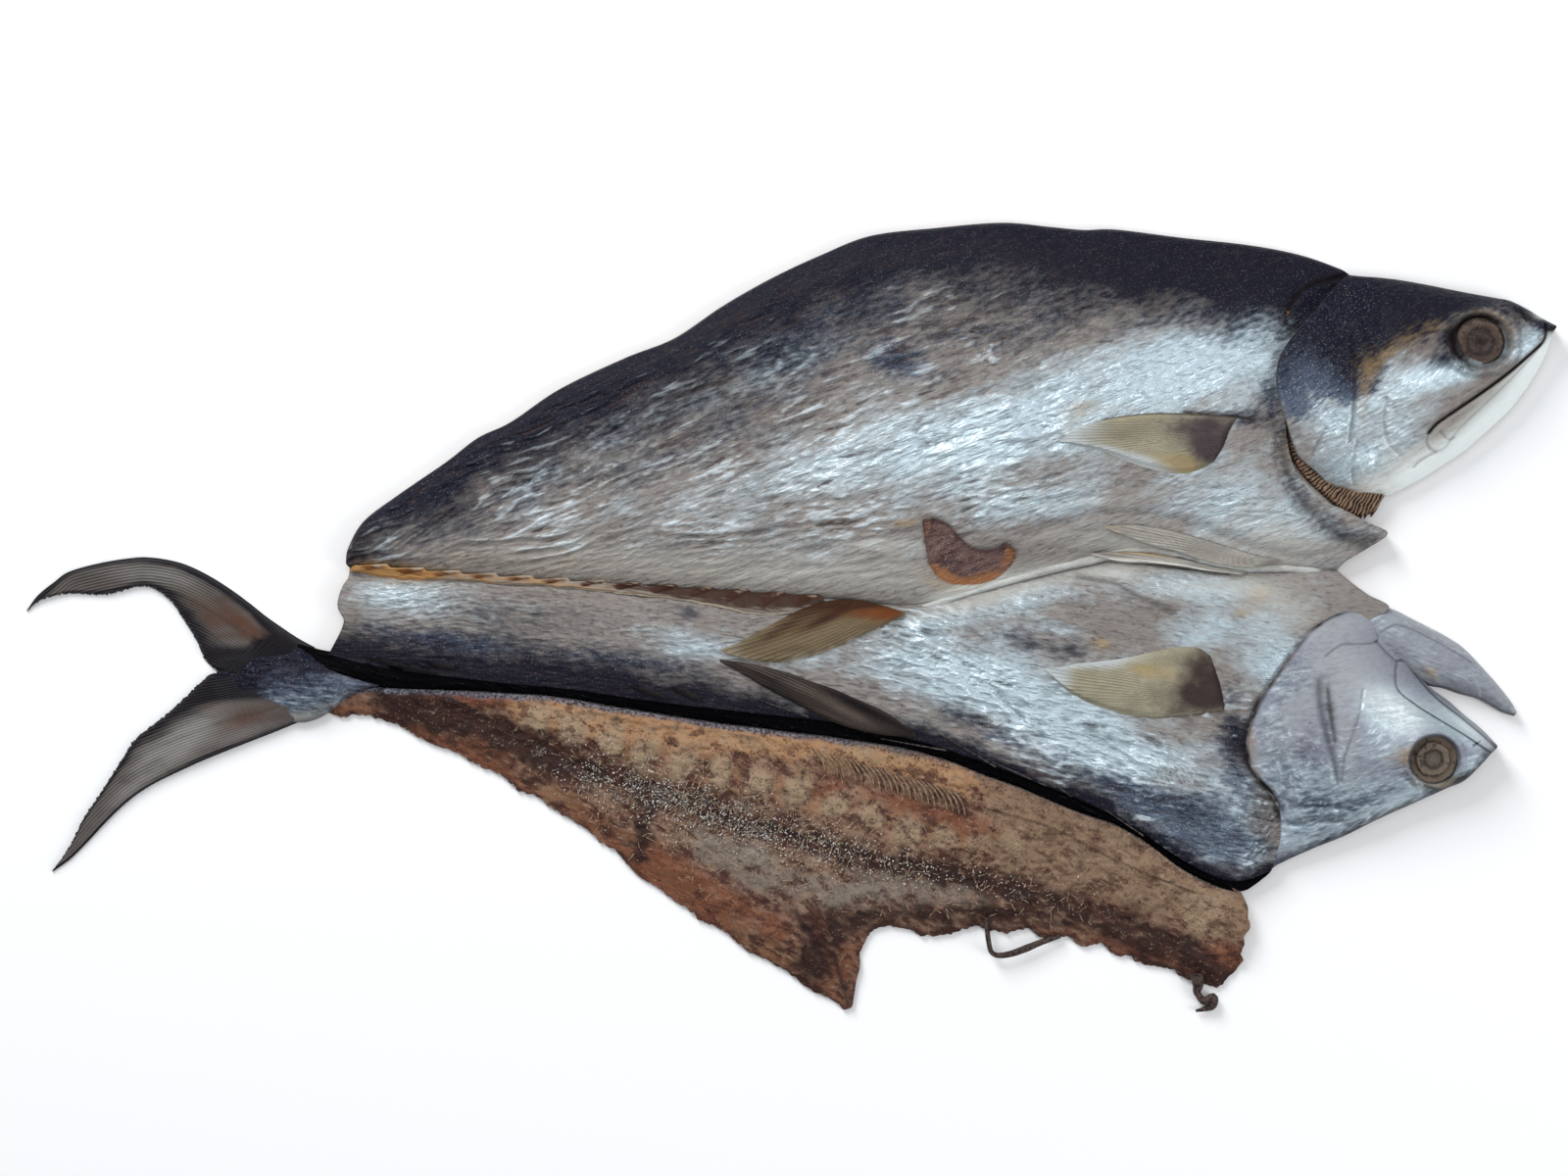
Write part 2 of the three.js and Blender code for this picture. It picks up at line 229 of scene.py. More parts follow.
def within(points, x, y):
    """Distance in mm inside a closed outline, negative outside it."""
    ring = line_through(list(points) + [points[0]], 90)
    inside = np.zeros(x.shape, bool)
    for (ax, ay), (bx, by) in zip(ring, ring[1:]):
        if ay != by:
            inside ^= ((ay > y) != (by > y)) & (x < (bx - ax) * (y - ay) / (by - ay) + ax)
    return np.where(inside, 1, -1) * away_from(ring, x, y)


def grow(name, place, cells, top, under, masks, finish, nodes):
    """A closed leaf: top and under give the height in mm of its two faces, masks its patches."""
    maker = bmesh.new()
    bmesh.ops.create_grid(maker, x_segments=cells[0], y_segments=cells[1], size=0.5)
    upper = bmesh.ops.extrude_face_region(maker, geom=maker.faces[:], use_keep_orig=True)["geom"]
    bmesh.ops.translate(maker, vec=(0, 0, 1), verts=[v for v in upper if isinstance(v, bmesh.types.BMVert)])
    bmesh.ops.recalc_face_normals(maker, faces=maker.faces)
    mesh = bpy.data.meshes.new(name)
    maker.to_mesh(mesh)
    maker.free()
    flat = np.empty(len(mesh.vertices) * 3)
    mesh.vertices.foreach_get("co", flat)
    flat = flat.reshape(-1, 3)
    u, v, is_top = np.clip(flat[:, 0] + 0.5, 0, 1), np.clip(flat[:, 1] + 0.5, 0, 1), flat[:, 2] > 0.5
    x, y = place(u, v)
    z = np.empty(x.shape)
    for face, height in ((is_top, top), (~is_top, under)):
        z[face] = height(x[face], y[face], u[face], v[face])
    mesh.vertices.foreach_set("co", (np.column_stack([x, y, z]) * MM).ravel())
    for mask, values in dict(masks(x, y, u, v), along=u, across=v, skin_up=is_top * 1.0).items():
        layer = mesh.attributes.new(mask, "FLOAT", "POINT")
        layer.data.foreach_set("value", np.broadcast_to(values, x.shape).astype(np.float32))
    mesh.polygons.foreach_set("use_smooth", [True] * len(mesh.polygons))
    mesh.materials.append(finish)
    return settle(name, mesh, nodes)


def settle(name, mesh, nodes):
    piece = bpy.data.objects.new(name, mesh)
    bpy.context.scene.collection.objects.link(piece)
    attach(piece, "root")
    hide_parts(*nodes)
    return piece


class Signal:
    """A shader socket. Arithmetic on it adds Math nodes."""

    def __init__(self, finish, socket):
        self.finish, self.socket = finish, socket

    def __add__(self, other):
        return self.finish.node("Math", [self, other], operation="ADD")

    def __sub__(self, other):
        return self.finish.node("Math", [self, other], operation="SUBTRACT")

    def __rsub__(self, other):
        return self.finish.node("Math", [other, self], operation="SUBTRACT")

    def __mul__(self, other):
        return self.finish.node("Math", [self, other], operation="MULTIPLY")

    __radd__, __rmul__ = __add__, __mul__


class Finish:
    """The node material of one kind of surface."""

    def __init__(self, name, **fixed):
        self.material = bpy.data.materials.new(name)
        self.material.use_nodes = True
        self.tree = self.material.node_tree
        self.shader = self.tree.nodes["Principled BSDF"]
        for socket, value in fixed.items():
            self.shader.inputs[socket.replace("_", " ")].default_value = value

    def node(self, kind, values=(), out=0, stops=None, **settings):
        made = self.tree.nodes.new("ShaderNode" + kind)
        for setting, value in settings.items():
            setattr(made, setting, value)
        if stops:
            ramp = made.color_ramp.elements
            for _ in stops[2:]:
                ramp.new(0.5)
            for element, (position, colour) in zip(ramp, stops):
                element.position, element.color = position, (*colour, 1.0)
        for index, value in values.items() if isinstance(values, dict) else enumerate(values):
            if isinstance(value, Signal):
                self.tree.links.new(value.socket, made.inputs[index])
            elif value is not None:
                made.inputs[index].default_value = value
        return Signal(self, made.outputs[out])

    def mask(self, name):
        return self.node("Attribute", attribute_name=name, out="Fac")

    def blend(self, share, a, b):
        """Colour a where share is 0 and b where it is 1. A colour is three numbers or a signal."""
        a, b = [c if isinstance(c, Signal) else (*c, 1.0) for c in (a, b)]
        return self.node("Mix", {0: share, 6: a, 7: b}, out=2, data_type="RGBA")

    def grain(self, size, detail=3.0, slant=0.0, stretch=1.0):
        """Fine random pattern with specks of size mm, drawn out along the slant."""
        at = self.node("TexCoord", out="Object")
        turned = self.node("Mapping", {0: at, 2: (0, 0, -math.radians(slant))})
        drawn = self.node("Mapping", {0: turned, 3: (1 / stretch, 1, 1)})
        return self.node("TexNoise", {"Vector": drawn, "Scale": 1 / (size * MM), "Detail": detail})

    def step(self, signal, low, high):
        return self.node("MapRange", [signal, low, high, 0.0, 1.0], interpolation_type="SMOOTHSTEP")

    def relief(self, height, depth, strength=1.0, under=None):
        """Bump of depth mm from a 0 to 1 height."""
        values = {"Height": height, "Distance": depth * MM, "Strength": strength, "Normal": under}
        return self.node("Bump", values)

    def wear(self, **sockets):
        """Links signals to the shader, as in wear(Base_Color=..., Normal=...)."""
        for socket, signal in sockets.items():
            self.tree.links.new(signal.socket, self.shader.inputs[socket.replace("_", " ")])
        return self.material


WARM_GREY = (0.235, 0.205, 0.185)
LAVENDER = (0.225, 0.235, 0.285)
SILVER = (0.47, 0.57, 0.62)
NAVY = (0.0060, 0.0062, 0.0155)
STEEL_BLUE = (0.048, 0.072, 0.125)
STAIN = (0.33, 0.22, 0.10)
CREASE = (0.040, 0.026, 0.027)
# HIGHLIGHT_WHITE: the colour of the painted highlights and glints on the skin.
HIGHLIGHT_WHITE = (0.82, 0.94, 1.0)
CREAM = (0.60, 0.60, 0.55)
MILK = (0.90, 0.96, 0.95)


def skin_finish(name, slant, dull=WARM_GREY, scaly=1.0):
    """Dried skin with needle-like fine scales drawn out along the slant; crests, scales and glints get painted
    highlights, fold hollows and slits painted shade.
    """
    skin = Finish(name, Specular_IOR_Level=0.07)
    coarse = skin.grain(9.0, 5.0, slant, 2.2)
    needles = skin.step(skin.grain(0.75, 3.0, slant, 4.0), 0.36, 0.64)
    flecks = skin.grain(1.3, 4.0, slant, 2.6)
    specks = skin.grain(0.5, 2.0)
    sparkle = skin.step(specks, 0.60, 0.70)
    pits = skin.step(skin.grain(1.1, 4.0, slant, 2.6), 0.45, 0.34)
    wisps = skin.grain(2.1, 3.0, slant, 7.5)
    clouds = coarse * 2.0 - 1.0
    silver, dusk, crest = skin.mask("silver"), skin.mask("dusk"), skin.mask("crest")
    gleam = skin.step(silver + clouds * 0.55 + (flecks - 0.5) * 0.6, 0.05, 0.85)
    colour = skin.blend(gleam, dull, SILVER)
    blued = skin.step(skin.mask("blue") + clouds * 0.4 - (flecks - 0.5) * 1.1, 0.15, 0.8) * 0.92
    colour = skin.blend(blued, colour, STEEL_BLUE)
    # In the half-dark band between back and flank the fold crests are painted lighter and the hollows darker: painted
    # light and shade on the folds, over the back's own mottling.
    half_dark = dusk * (1.0 - dusk) * 2.8
    mottle = clouds * 0.5 - (crest - 0.25) * 0.7 - (flecks - 0.5) * 1.5
    shade = skin.node("MapRange", [dusk + half_dark * mottle, 0.04, 0.92, 0.0, 0.98])
    colour = skin.blend(shade, colour, NAVY)
    stain = skin.step(skin.mask("stain") + clouds * 0.5 + (needles - 0.5) * 0.25, 0.2, 1.0) * 0.72
    colour = skin.blend(stain, colour, STAIN)
    # Light streaks along the fine scales: painted glints, none on the dark back.
    colour = skin.blend(needles * (0.05 + silver * 0.10) * (1.0 - dusk) * scaly, colour, HIGHLIGHT_WHITE)
    colour = skin.blend(pits * (0.42 - silver * 0.22) * scaly, colour, CREASE)
    combed = crest + (wisps - 0.5) * 1.5 * skin.mask("creased") * scaly
    # hollow: painted shade in the hollows of the folds, in the CREASE colour.
    hollow = skin.step(combed + (flecks - 0.5) * 0.12, 0.20, 0.02) * skin.mask("creased") * 0.80
    colour = skin.blend(hollow, colour, CREASE)
    # lit: painted highlight on the crests of the folds, strongest on the silver.
    lit = skin.step(combed + (flecks - 0.5) * 0.3 - dusk * 0.14, 0.33, 0.66) * (0.6 + needles * 0.4)
    lit = lit * (0.48 + silver * 0.38) * (1.0 - dusk * 0.62)
    colour = skin.blend(lit, colour, HIGHLIGHT_WHITE)
    colour = skin.blend(skin.mask("pale") * 0.8, colour, CREAM)
    colour = skin.blend(skin.mask("milky"), colour, MILK)
    # glint: sparse specks of painted highlight.
    glint = sparkle * (0.05 + skin.mask("blue") * 0.32 * (1.0 - dusk * 0.8))
    colour = skin.blend(glint, colour, HIGHLIGHT_WHITE)
    raw = skin.mask("raw")
    mottled = skin.step(coarse + (flecks - 0.5) * 0.9, 0.32, 0.66)
    torn = skin.blend(mottled, (0.062, 0.032, 0.032), (0.150, 0.092, 0.082))
    rusty = skin.step(skin.mask("raw_rim") + (flecks - 0.5) * 0.9 + clouds * 0.3, 0.15, 0.85)
    torn = skin.blend(rusty, torn, (0.30, 0.130, 0.055))
    torn = skin.blend(sparkle * 0.35, torn, (0.55, 0.50, 0.48))
    colour = skin.blend(skin.step(raw + (specks - 0.5) * 0.5, 0.3, 0.7), colour, torn)
    # line: near-black painted shade in the slits, grooves, eye sockets and crevices, and along the edges of raised
    # folds.
    colour = skin.blend(skin.mask("line"), colour, (0.012, 0.008, 0.008))
    sawn = skin.blend(skin.step(flecks + clouds * 0.2, 0.34, 0.68), (0.130, 0.066, 0.046), (0.36, 0.25, 0.16))
    sawn = skin.blend(mottled * 0.5, sawn, (0.22, 0.130, 0.085))
    colour = skin.blend(1.0 - skin.mask("skin_up"), colour, sawn)
    dry = (1.0 - raw) * (1.0 - stain) * (1.0 - skin.mask("pale")) * (1.0 - skin.mask("line"))
    shine = ((gleam * 0.42 + 0.06) * (1.0 - dusk) + lit * 0.22) * dry
    roughness = 0.46 - gleam * 0.12 + (specks - 0.5) * 0.3 - raw * 0.2
    bump = skin.relief(needles, 0.10, 0.8 * scaly)
    bump = skin.relief(wisps, 1.0, 0.9 * scaly, bump)
    bump = skin.relief(skin.grain(1.6, 4.0, slant, 2.4), 0.55, 0.8 * scaly, bump)
    return skin.wear(Base_Color=colour, Metallic=shine * skin.mask("skin_up"), Roughness=roughness,
                     Normal=bump)


right_skin_finish = skin_finish("right_skin", 21)
right_place = leaf_between(BELLY_LINE, RIGHT_BACK, right=RIGHT_SHOULDER)
back_line, shoulder_line = line_through(RIGHT_BACK, 90), line_through(RIGHT_SHOULDER, 60)

VENT = [(40.5, 29.4), (43.5, 30), (48, 28.4), (51.5, 24.6), (55.6, 21.2), (60, 20.4), (63.5, 21),
        (66, 22.4), (69, 20), (68.4, 16.6), (64.6, 12.6), (60, 10.2), (54, 9.6), (48.6, 10.2), (45, 12.4),
        (42.4, 16.4), (41.6, 21), (41, 25.6)]
SHOULDER_BAND = [(150.6, 55), (151.2, 46), (155.4, 36.4), (161.6, 29.6), (169, 24), (176, 22)]
# Slits in the skin: cut as grooves, and painted dark as the shade in them.
RIGHT_SLITS = [([(141, 59.6), (137, 60.6), (131, 61.2), (120, 62)], 0.7),
               ([(170, 104.3), (160, 101.5), (155, 98), (152, 93)], 0.7),
               ([(167, 101), (167, 95), (164, 91), (157.5, 87.5)], 0.6),
               ([(152, 93), (151.5, 89), (155, 87)], 0.6)]


def right_folding(x, y, u, v):
    """How the skin is creased: slanting in the tail half, finer and flatter towards the head."""
    tailward = smooth(70, -40, x)
    steep = folds(x, y, 24, 34, 4.2, 1)
    low = folds(x, y, 14, 24, 3.2, 2)
    flat = folds(x, y, 6, 24, 3.2, 3)
    upper = smooth(0.22, 0.5, v)
    crest = upper * (tailward * steep + (1 - tailward) * low) + (1 - upper) * flat
    strength = 0.5 + 0.5 * smooth(-0.4, 0.5, rough(x, y, 30, 3, 9))
    strength = strength * (0.35 + 0.65 * smooth(150, 30, x)) * smooth(0.0, 0.1, v) * smooth(0.985, 0.86, v)
    return crest, strength * (1 - 0.6 * smooth(0.30, 0.08, v)) * (1 - 0.5 * smooth(60, 95, x) * smooth(0.6, 0.8, v))


def right_top(x, y, u, v):
    arch = np.sin(np.pi * np.clip(v, 0, 1)) ** 0.45
    z = SIDE_EDGE + SIDE_CROWN * arch * (0.45 + 0.55 * np.sin(np.pi / 2 * np.clip(u / 0.75, 0, 1.3)))
    crest, strength = right_folding(x, y, u, v)
    z += 2.6 * strength * (crest - 0.3) * smooth(0, 0.06, v) * smooth(1, 0.95, v)
    z += 0.9 * rough(x, y, 30, 3, 4) * arch + 0.12 * rough(x, y, 2.2, 2, 7)
    z -= 2.4 * smooth(14, 1, away_from(shoulder_line, x, y)) * smooth(26, 44, y)
    z += 1.3 * smooth(0, 4.5, away_from(line_through(SHOULDER_BAND, 30), x, y)) - 1.3
    inside_vent = within(VENT, x, y)
    z -= 1.3 * smooth(-0.6, 0.8, inside_vent)
    for points, width in RIGHT_SLITS:
        z -= 1.1 * groove(points, width, x, y)
    z -= 0.8 * groove([(72, 24), (80, 27), (90, 30.2), (100, 31), (110, 30.5), (120, 28.6),
                       (133, 24), (143, 20.4), (158, 17.4)], 1.6, x, y)
    return np.maximum(z, 1.4)


def right_masks(x, y, u, v):
    crest, strength = right_folding(x, y, u, v)
    depth = away_from(back_line, x, y) + 4.5 * rough(x, y, 16, 3, 12)
    front = smooth(60, 110, x)
    tail_part = smooth(-75, -135, x)
    near = 8 + 8 * front - 5 * tail_part
    far = 33 + 15 * smooth(-80, -10, x) - 14 * front - 15 * tail_part
    dusk = np.clip((far - depth) / (far - near), 0, 1)
    collar = away_from(line_through(SHOULDER_BAND, 30), x, y)
    dusk = np.maximum(dusk, 0.34 * smooth(6, 0.5, collar))
    dusk = np.maximum(dusk, spots(x, y, [((33, 79), (9, 5), 20, 0.62), ((62, 87), (10, 5), 0, 0.66),
                                         ((48, 74), (8, 3), 30, 0.35), ((147, 64), (4, 9), 10, 0.55),
                                         ((146, 95), (14, 8), 0, 0.75), ((-92, 40), (10, 4), 30, 0.62),
                                         ((-80, 44), (7, 3), 10, 0.7), ((140, 60), (6, 3), 0, 0.5)]))
    silver = spots(x, y, [((62, 54), (46, 14), 12, 0.80), ((122, 76), (36, 13), 8, 0.90),
                          ((-20, 38), (46, 12), 20, 0.22), ((140, 35), (30, 14), -20, 0.6),
                          ((10, 48), (40, 10), 16, 0.2), ((-76, 31), (6, 10), 60, 0.26),
                          ((5, 22), (40, 6), 2, 0.25), ((-10, 72), (34, 5), 26, 0.5),
                          ((-60, 50), (26, 5), 28, 0.35), ((80, 34), (30, 6), 0, 0.50),
                          ((146, 85), (8, 10), 0, 0.5)])
    blue = np.maximum(spots(x, y, [((60, 86), (14, 6), 0, 0.6), ((33, 78), (12, 7), 0, 0.7),
                                   ((-60, 64), (30, 6), 30, 0.5), ((-108, 39), (20, 6), 38, 0.8),
                                   ((138, 90), (24, 8), 0, 0.5), ((10, 88), (44, 9), 22, 0.6),
                                   ((158, 96), (9, 7), 0, 0.6), ((147, 66), (4, 8), 0, 0.6)]),
                      1.3 * dusk * (1 - dusk))
    stain = spots(x, y, [((90, 64), (9, 4), 12, 0.62), ((112, 65), (7, 2.5), 0, 0.35),
                         ((84, 57), (8, 2.6), 34, 0.45), ((35.5, 28.4), (5, 1.5), 5, 1.0), ((56, 7.6), (11, 2), 8, 0.6),
                         ((-120, 15), (14, 1.8), -6, 0.7), ((151, 50), (4, 8), 0, 0.42),
                         ((-70, 17), (60, 6), -3, 0.42), ((141, 42), (5, 8), -20, 0.25),
                         ((45, 10), (9, 3), -30, 0.5), ((10, 14), (40, 5), -3, 0.2)])
    # band and lines: painted shade in the groove round the shoulder band and in the slits; torn_rim is a thin dark rim
    # round the vent.
    band = 0.45 * smooth(1.6, 0.4, collar)
    lines = sum(groove(points, width, x, y) for points, width in RIGHT_SLITS)
    torn_rim = np.exp(-(within(VENT, x, y) / 0.5) ** 2)
    return dict(dusk=dusk, silver=silver, blue=blue, stain=stain, crest=crest * strength,
                creased=strength * smooth(0.03, 0.15, v) * smooth(120, 60, x + 0 * y),
                raw=smooth(-0.8, 0.8, within(VENT, x, y)),
                raw_rim=spots(x, y, [((47, 12.4), (7, 2.6), -30, 0.9), ((59, 11.4), (9, 2.0), 12, 0.85),
                                     ((67.4, 19), (2.6, 4), -20, 0.75), ((42, 27), (1.6, 4), 0, 0.5)]),
                pale=spots(x, y, [((-30, 15), (60, 5), -4, 0.32), ((24, 14), (30, 6), -4, 0.34),
                                  ((66, 10.5), (24, 2.6), 16, 0.9), ((112, 22), (30, 3), -5, 0.6),
                                  ((150, 24), (16, 6), -20, 0.5), ((28, 22), (14, 2), -4, 0.5),
                                  ((52, 7.6), (14, 2), 20, 0.8), ((96, 35), (16, 2), 6, 0.3)]),
                line=np.clip(lines + band + 0.3 * torn_rim, 0, 1))


def skin_under(top):
    """The inner face of a sheet of skin, laid on the flesh."""
    return lambda x, y, u, v: top(x, y, u, v) - SKIN_DEPTH


right_skin = grow("right_side_skin", right_place, (388, 125), right_top, skin_under(right_top),
                  right_masks, right_skin_finish, ["split_sides"])


# ---------------------------------------------------------------------------------------------
# The left side: the other half of the body, joined to the right one along the belly. It ends at
# the ridge of the back, and shows more silver because less of the dark back is on it.

LEFT_RIDGE = [(-140.5, -11.6), (-125, -15.5), (-105, -18.2), (-85, -20.5), (-65, -22.4), (-45, -25.4),
              (-20, -28.4), (0, -30.6), (15, -32.4), (30, -35.6), (45, -39.6), (60, -44.6), (75, -50.4),
              (90, -56.4), (105, -64), (118, -73), (128, -78.4), (137, -80.6), (147, -77.7)]
LEFT_BELLY = [(x, y + 0.7) for x, y in BELLY_LINE]
LEFT_TAIL_CUT = [(-140.5, -11.6), (-138.5, -8), (-136.5, -4), (-135.7, -1), (-136.8, 1), (-137.6, 3),
                 (-137.3, 6), (-136, 9.5), (-134.4, 12), (-134, 15.6)]
LEFT_SHOULDER = [(147, -77.7), (153, -60), (148, -46), (147, -36), (151, -24), (160, -11), (172, -3),
                 (183, 2.4), (176, 7), (170.4, 11.4), (167, 14.5)]
LEFT_CROWN = 7.5
LEFT_SLITS = [([(88, 12), (95, 11), (100, 10), (105, 7), (110, 4.5), (117, 1)], 1.1),
              ([(66, -6), (74, -8.4), (82, -10.4), (90, -12)], 0.9),
              ([(60, -19), (66, -26), (71, -31)], 0.35),
              ([(134, 13.6), (120, 15), (105, 17), (97, 18.5)], 0.5)]
GILL_SLIT = [(149.4, -61), (146.4, -54.4), (142.4, -49.4), (139.4, -44.6), (138.2, -38.4), (139.2, -33), (143, -25)]
ridge_line = line_through(LEFT_RIDGE, 90)


def left_folding(x, y, u, v):
    headward = smooth(-20, 50, x)
    tail_half = folds(x, y, 6, 14, 2.2, 4)
    head_half = folds(x, y, -16, 13, 3.0, 5)
    chest = folds(x, y, 28, 12, 1.5, 6)
    on_chest = smooth(112, 138, x) * smooth(-30, -12, y)
    crest = (1 - headward) * tail_half + headward * head_half
    crest = crest * (1 - on_chest) + chest * on_chest
    strength = 0.35 + 0.65 * smooth(-0.4, 0.4, rough(x, y, 24, 3, 21))
    calm = smooth(-22, -8, y) * smooth(50, 64, x)
    return crest, strength * (0.45 + 0.55 * headward) * smooth(1, 0.93, v) * (1 - 0.55 * on_chest) * (1 - 0.6 * calm)


def left_top(x, y, u, v):
    arch = np.sin(np.pi * np.clip(v * 0.86 + 0.14, 0, 1)) ** 0.5
    z = SIDE_EDGE + LEFT_CROWN * arch * (0.42 + 0.58 * smooth(-0.1, 0.62, u)) - 0.35 * smooth(0.9, 1, v)
    crest, strength = left_folding(x, y, u, v)
    z += 2.1 * strength * (crest - 0.3) * smooth(0, 0.08, v) * smooth(1, 0.94, v)
    z += 0.8 * rough(x, y, 26, 3, 14) * arch + 0.12 * rough(x, y, 2.0, 2, 17)
    z -= 2.2 * smooth(12, 1, away_from(line_through(LEFT_SHOULDER, 60), x, y)) * smooth(10, -6, y)
    for points, width in LEFT_SLITS:
        z -= 1.0 * groove(points, width, x, y)
    z += 0.7 * groove([(93, 9), (101, 7.4), (109, 3)], 2.2, x, y)
    return np.maximum(z, 1.4)


def left_masks(x, y, u, v):
    crest, strength = left_folding(x, y, u, v)
    depth = away_from(ridge_line, x, y) + 3 * rough(x, y, 12, 3, 22)
    reach = 6.0 + 8.0 * smooth(10, -60, x) - 2.5 * smooth(-100, -130, x) - 1.5 * smooth(30, 60, x)
    # The patch at (136, -37) is painted shade in the crevice behind the gill cover.
    dusk = np.maximum(np.clip(1.35 - depth / reach, 0, 1),
                      spots(x, y, [((136, -66), (20, 9), -20, 0.28), ((136, -37), (4.5, 13), 8, 0.9),
                                   ((101, -52), (14, 3), -20, 0.6), ((55, -31), (10, 3), -12, 0.7),
                                   ((85, -10), (5, 3), 0, 0.42), ((72, -9), (4, 2), 0, 0.40),
                                   ((-30, 1), (3, 2), 0, 0.5), ((120, -57), (10, 5), -30, 0.5),
                                   ((83, -46), (9, 2.4), -24, 0.55), ((70, -27), (8, 2), -16, 0.4),
                                   ((-80, -2), (30, 6), -6, 0.30), ((144, -60), (5, 9), 10, 0.45),
                                   ((95, -36), (7, 2), -20, 0.45)]))
    silver = spots(x, y, [((58, -19), (36, 11), -16, 1.0), ((95, -40), (30, 11), -24, 0.95),
                          ((150, -14), (12, 16), 50, 0.85), ((62, 3), (30, 5), 12, 0.5),
                          ((-25, -9), (36, 6), -8, 0.40), ((-118, 6), (18, 8), -5, 0.55),
                          ((128, -66), (16, 7), -25, 0.85), ((120, 9), (24, 5), 0, 0.6),
                          ((124, -4), (12, 8), 20, 0.6), ((82, -3), (10, 3), -15, 0.5),
                          ((136, -54), (9, 14), 10, 0.55)])
    blue = np.maximum(spots(x, y, [((-105, -8), (26, 5), -8, 0.8), ((-50, -14), (30, 4), -8, 0.6),
                                   ((125, -64), (22, 11), -25, 0.90), ((60, -34), (20, 4), -22, 0.6),
                                   ((100, -52), (20, 5), -24, 0.6), ((137, -42), (7, 18), 8, 0.65),
                                   ((80, -6), (26, 5), 0, 0.25)]),
                      1.2 * dusk * (1 - dusk))
    stain = spots(x, y, [((143.5, 7), (5, 2.4), 25, 1.0), ((138, 1), (4, 2), 15, 0.75),
                         ((95, -8), (3.6, 2), -15, 1.0), ((-120, 11), (14, 2.4), -5, 0.55),
                         ((154, 9), (4, 2.5), 0, 0.45), ((109, 9), (7, 3), -30, 0.35),
                         ((-70, 7), (40, 2), -4, 0.3)])
    pale = spots(x, y, [((150, 3), (16, 6), -25, 0.4), ((62, 6), (28, 2.5), 14, 0.6),
                        ((98, 13), (10, 3), 0, 0.6), ((130, 9), (20, 3.5), 0, 0.45)])
    # lines: painted shade in the slits and in the crevice along the gill slit.
    lines = sum(groove(points, width * 0.6, x, y) * 0.55 for points, width in LEFT_SLITS)
    lines = lines + 0.9 * groove(GILL_SLIT, 1.3, x, y)
    return dict(dusk=dusk, silver=silver, blue=blue, stain=stain, crest=crest * strength,
                creased=strength * 0.9, raw=x * 0, pale=pale, line=np.clip(lines, 0, 1))


left_place = leaf_between(LEFT_RIDGE, LEFT_BELLY, LEFT_TAIL_CUT, LEFT_SHOULDER)
left_skin = grow("left_side_skin", left_place, (400, 110), left_top, skin_under(left_top),
                 left_masks, skin_finish("left_skin", -10), ["split_sides"])


# ---------------------------------------------------------------------------------------------
# The edge of the belly, where both sides meet: a thin raised fold of pale skin from the vent to
# the throat.

SEAM = [(33, 1.6), (40, 2.6), (45, 4), (50, 5.6), (60, 8.6), (65, 10.2), (70, 11.6), (80, 14.3), (90, 16.6),
        (100, 19), (108, 20.2), (118, 19.2), (128, 16.6), (138, 14.8), (150, 14.9), (160, 14.2), (166, 13.8)]


def seam_place(u, v):
    x, y = along_line(line_through(SEAM), u)
    half = 1.1 + 0.5 * smooth(0.1, 0.5, u) + 0.3 * swell(u * 14, u * 0, 26)
    return x - 0.25 * half * (2 * v - 1), y + half * (2 * v - 1)


def seam_top(x, y, u, v):
    arch = np.clip(np.sin(np.pi * v), 0, 1) ** 0.7
    height = np.interp(u, [0, 0.1, 0.5, 0.85, 1], [3.6, 4.8, 5.6, 5.0, 3.4])
    return height + (1.3 + 0.5 * rough(x, y, 6, 3, 27)) * arch * smooth(0, 0.04, u) * smooth(1, 0.95, u) - 0.6


def seam_masks(x, y, u, v):
    return dict(dusk=x * 0, silver=0.3 + 0.2 * rough(x, y, 8, 2, 28), blue=x * 0, crest=x * 0 + 0.2, creased=x * 0,
                stain=0.35 * smooth(0.3, 0.0, u) + 0.3 * smooth(0.25, 0.0, v), raw=x * 0,
                pale=0.85 * smooth(0.05, 0.3, v) * (0.75 + 0.3 * rough(x, y, 9, 3, 29)),
                # line: painted shade along both edges of the raised fold.
                line=0.45 * smooth(0.16, 0.02, v) + 0.25 * smooth(0.9, 1, v))


belly_seam = grow("belly_seam", seam_place, (220, 16), seam_top, lambda x, y, u, v: x * 0 + 1.0,
                  seam_masks, skin_finish("belly_seam", 12), ["split_sides"])


# ---------------------------------------------------------------------------------------------
# The cut flesh under the skin of both sides, which the fish lies on. The knife left the marks of
# the ribs in it, and the belly wall keeps a dark dry lining.

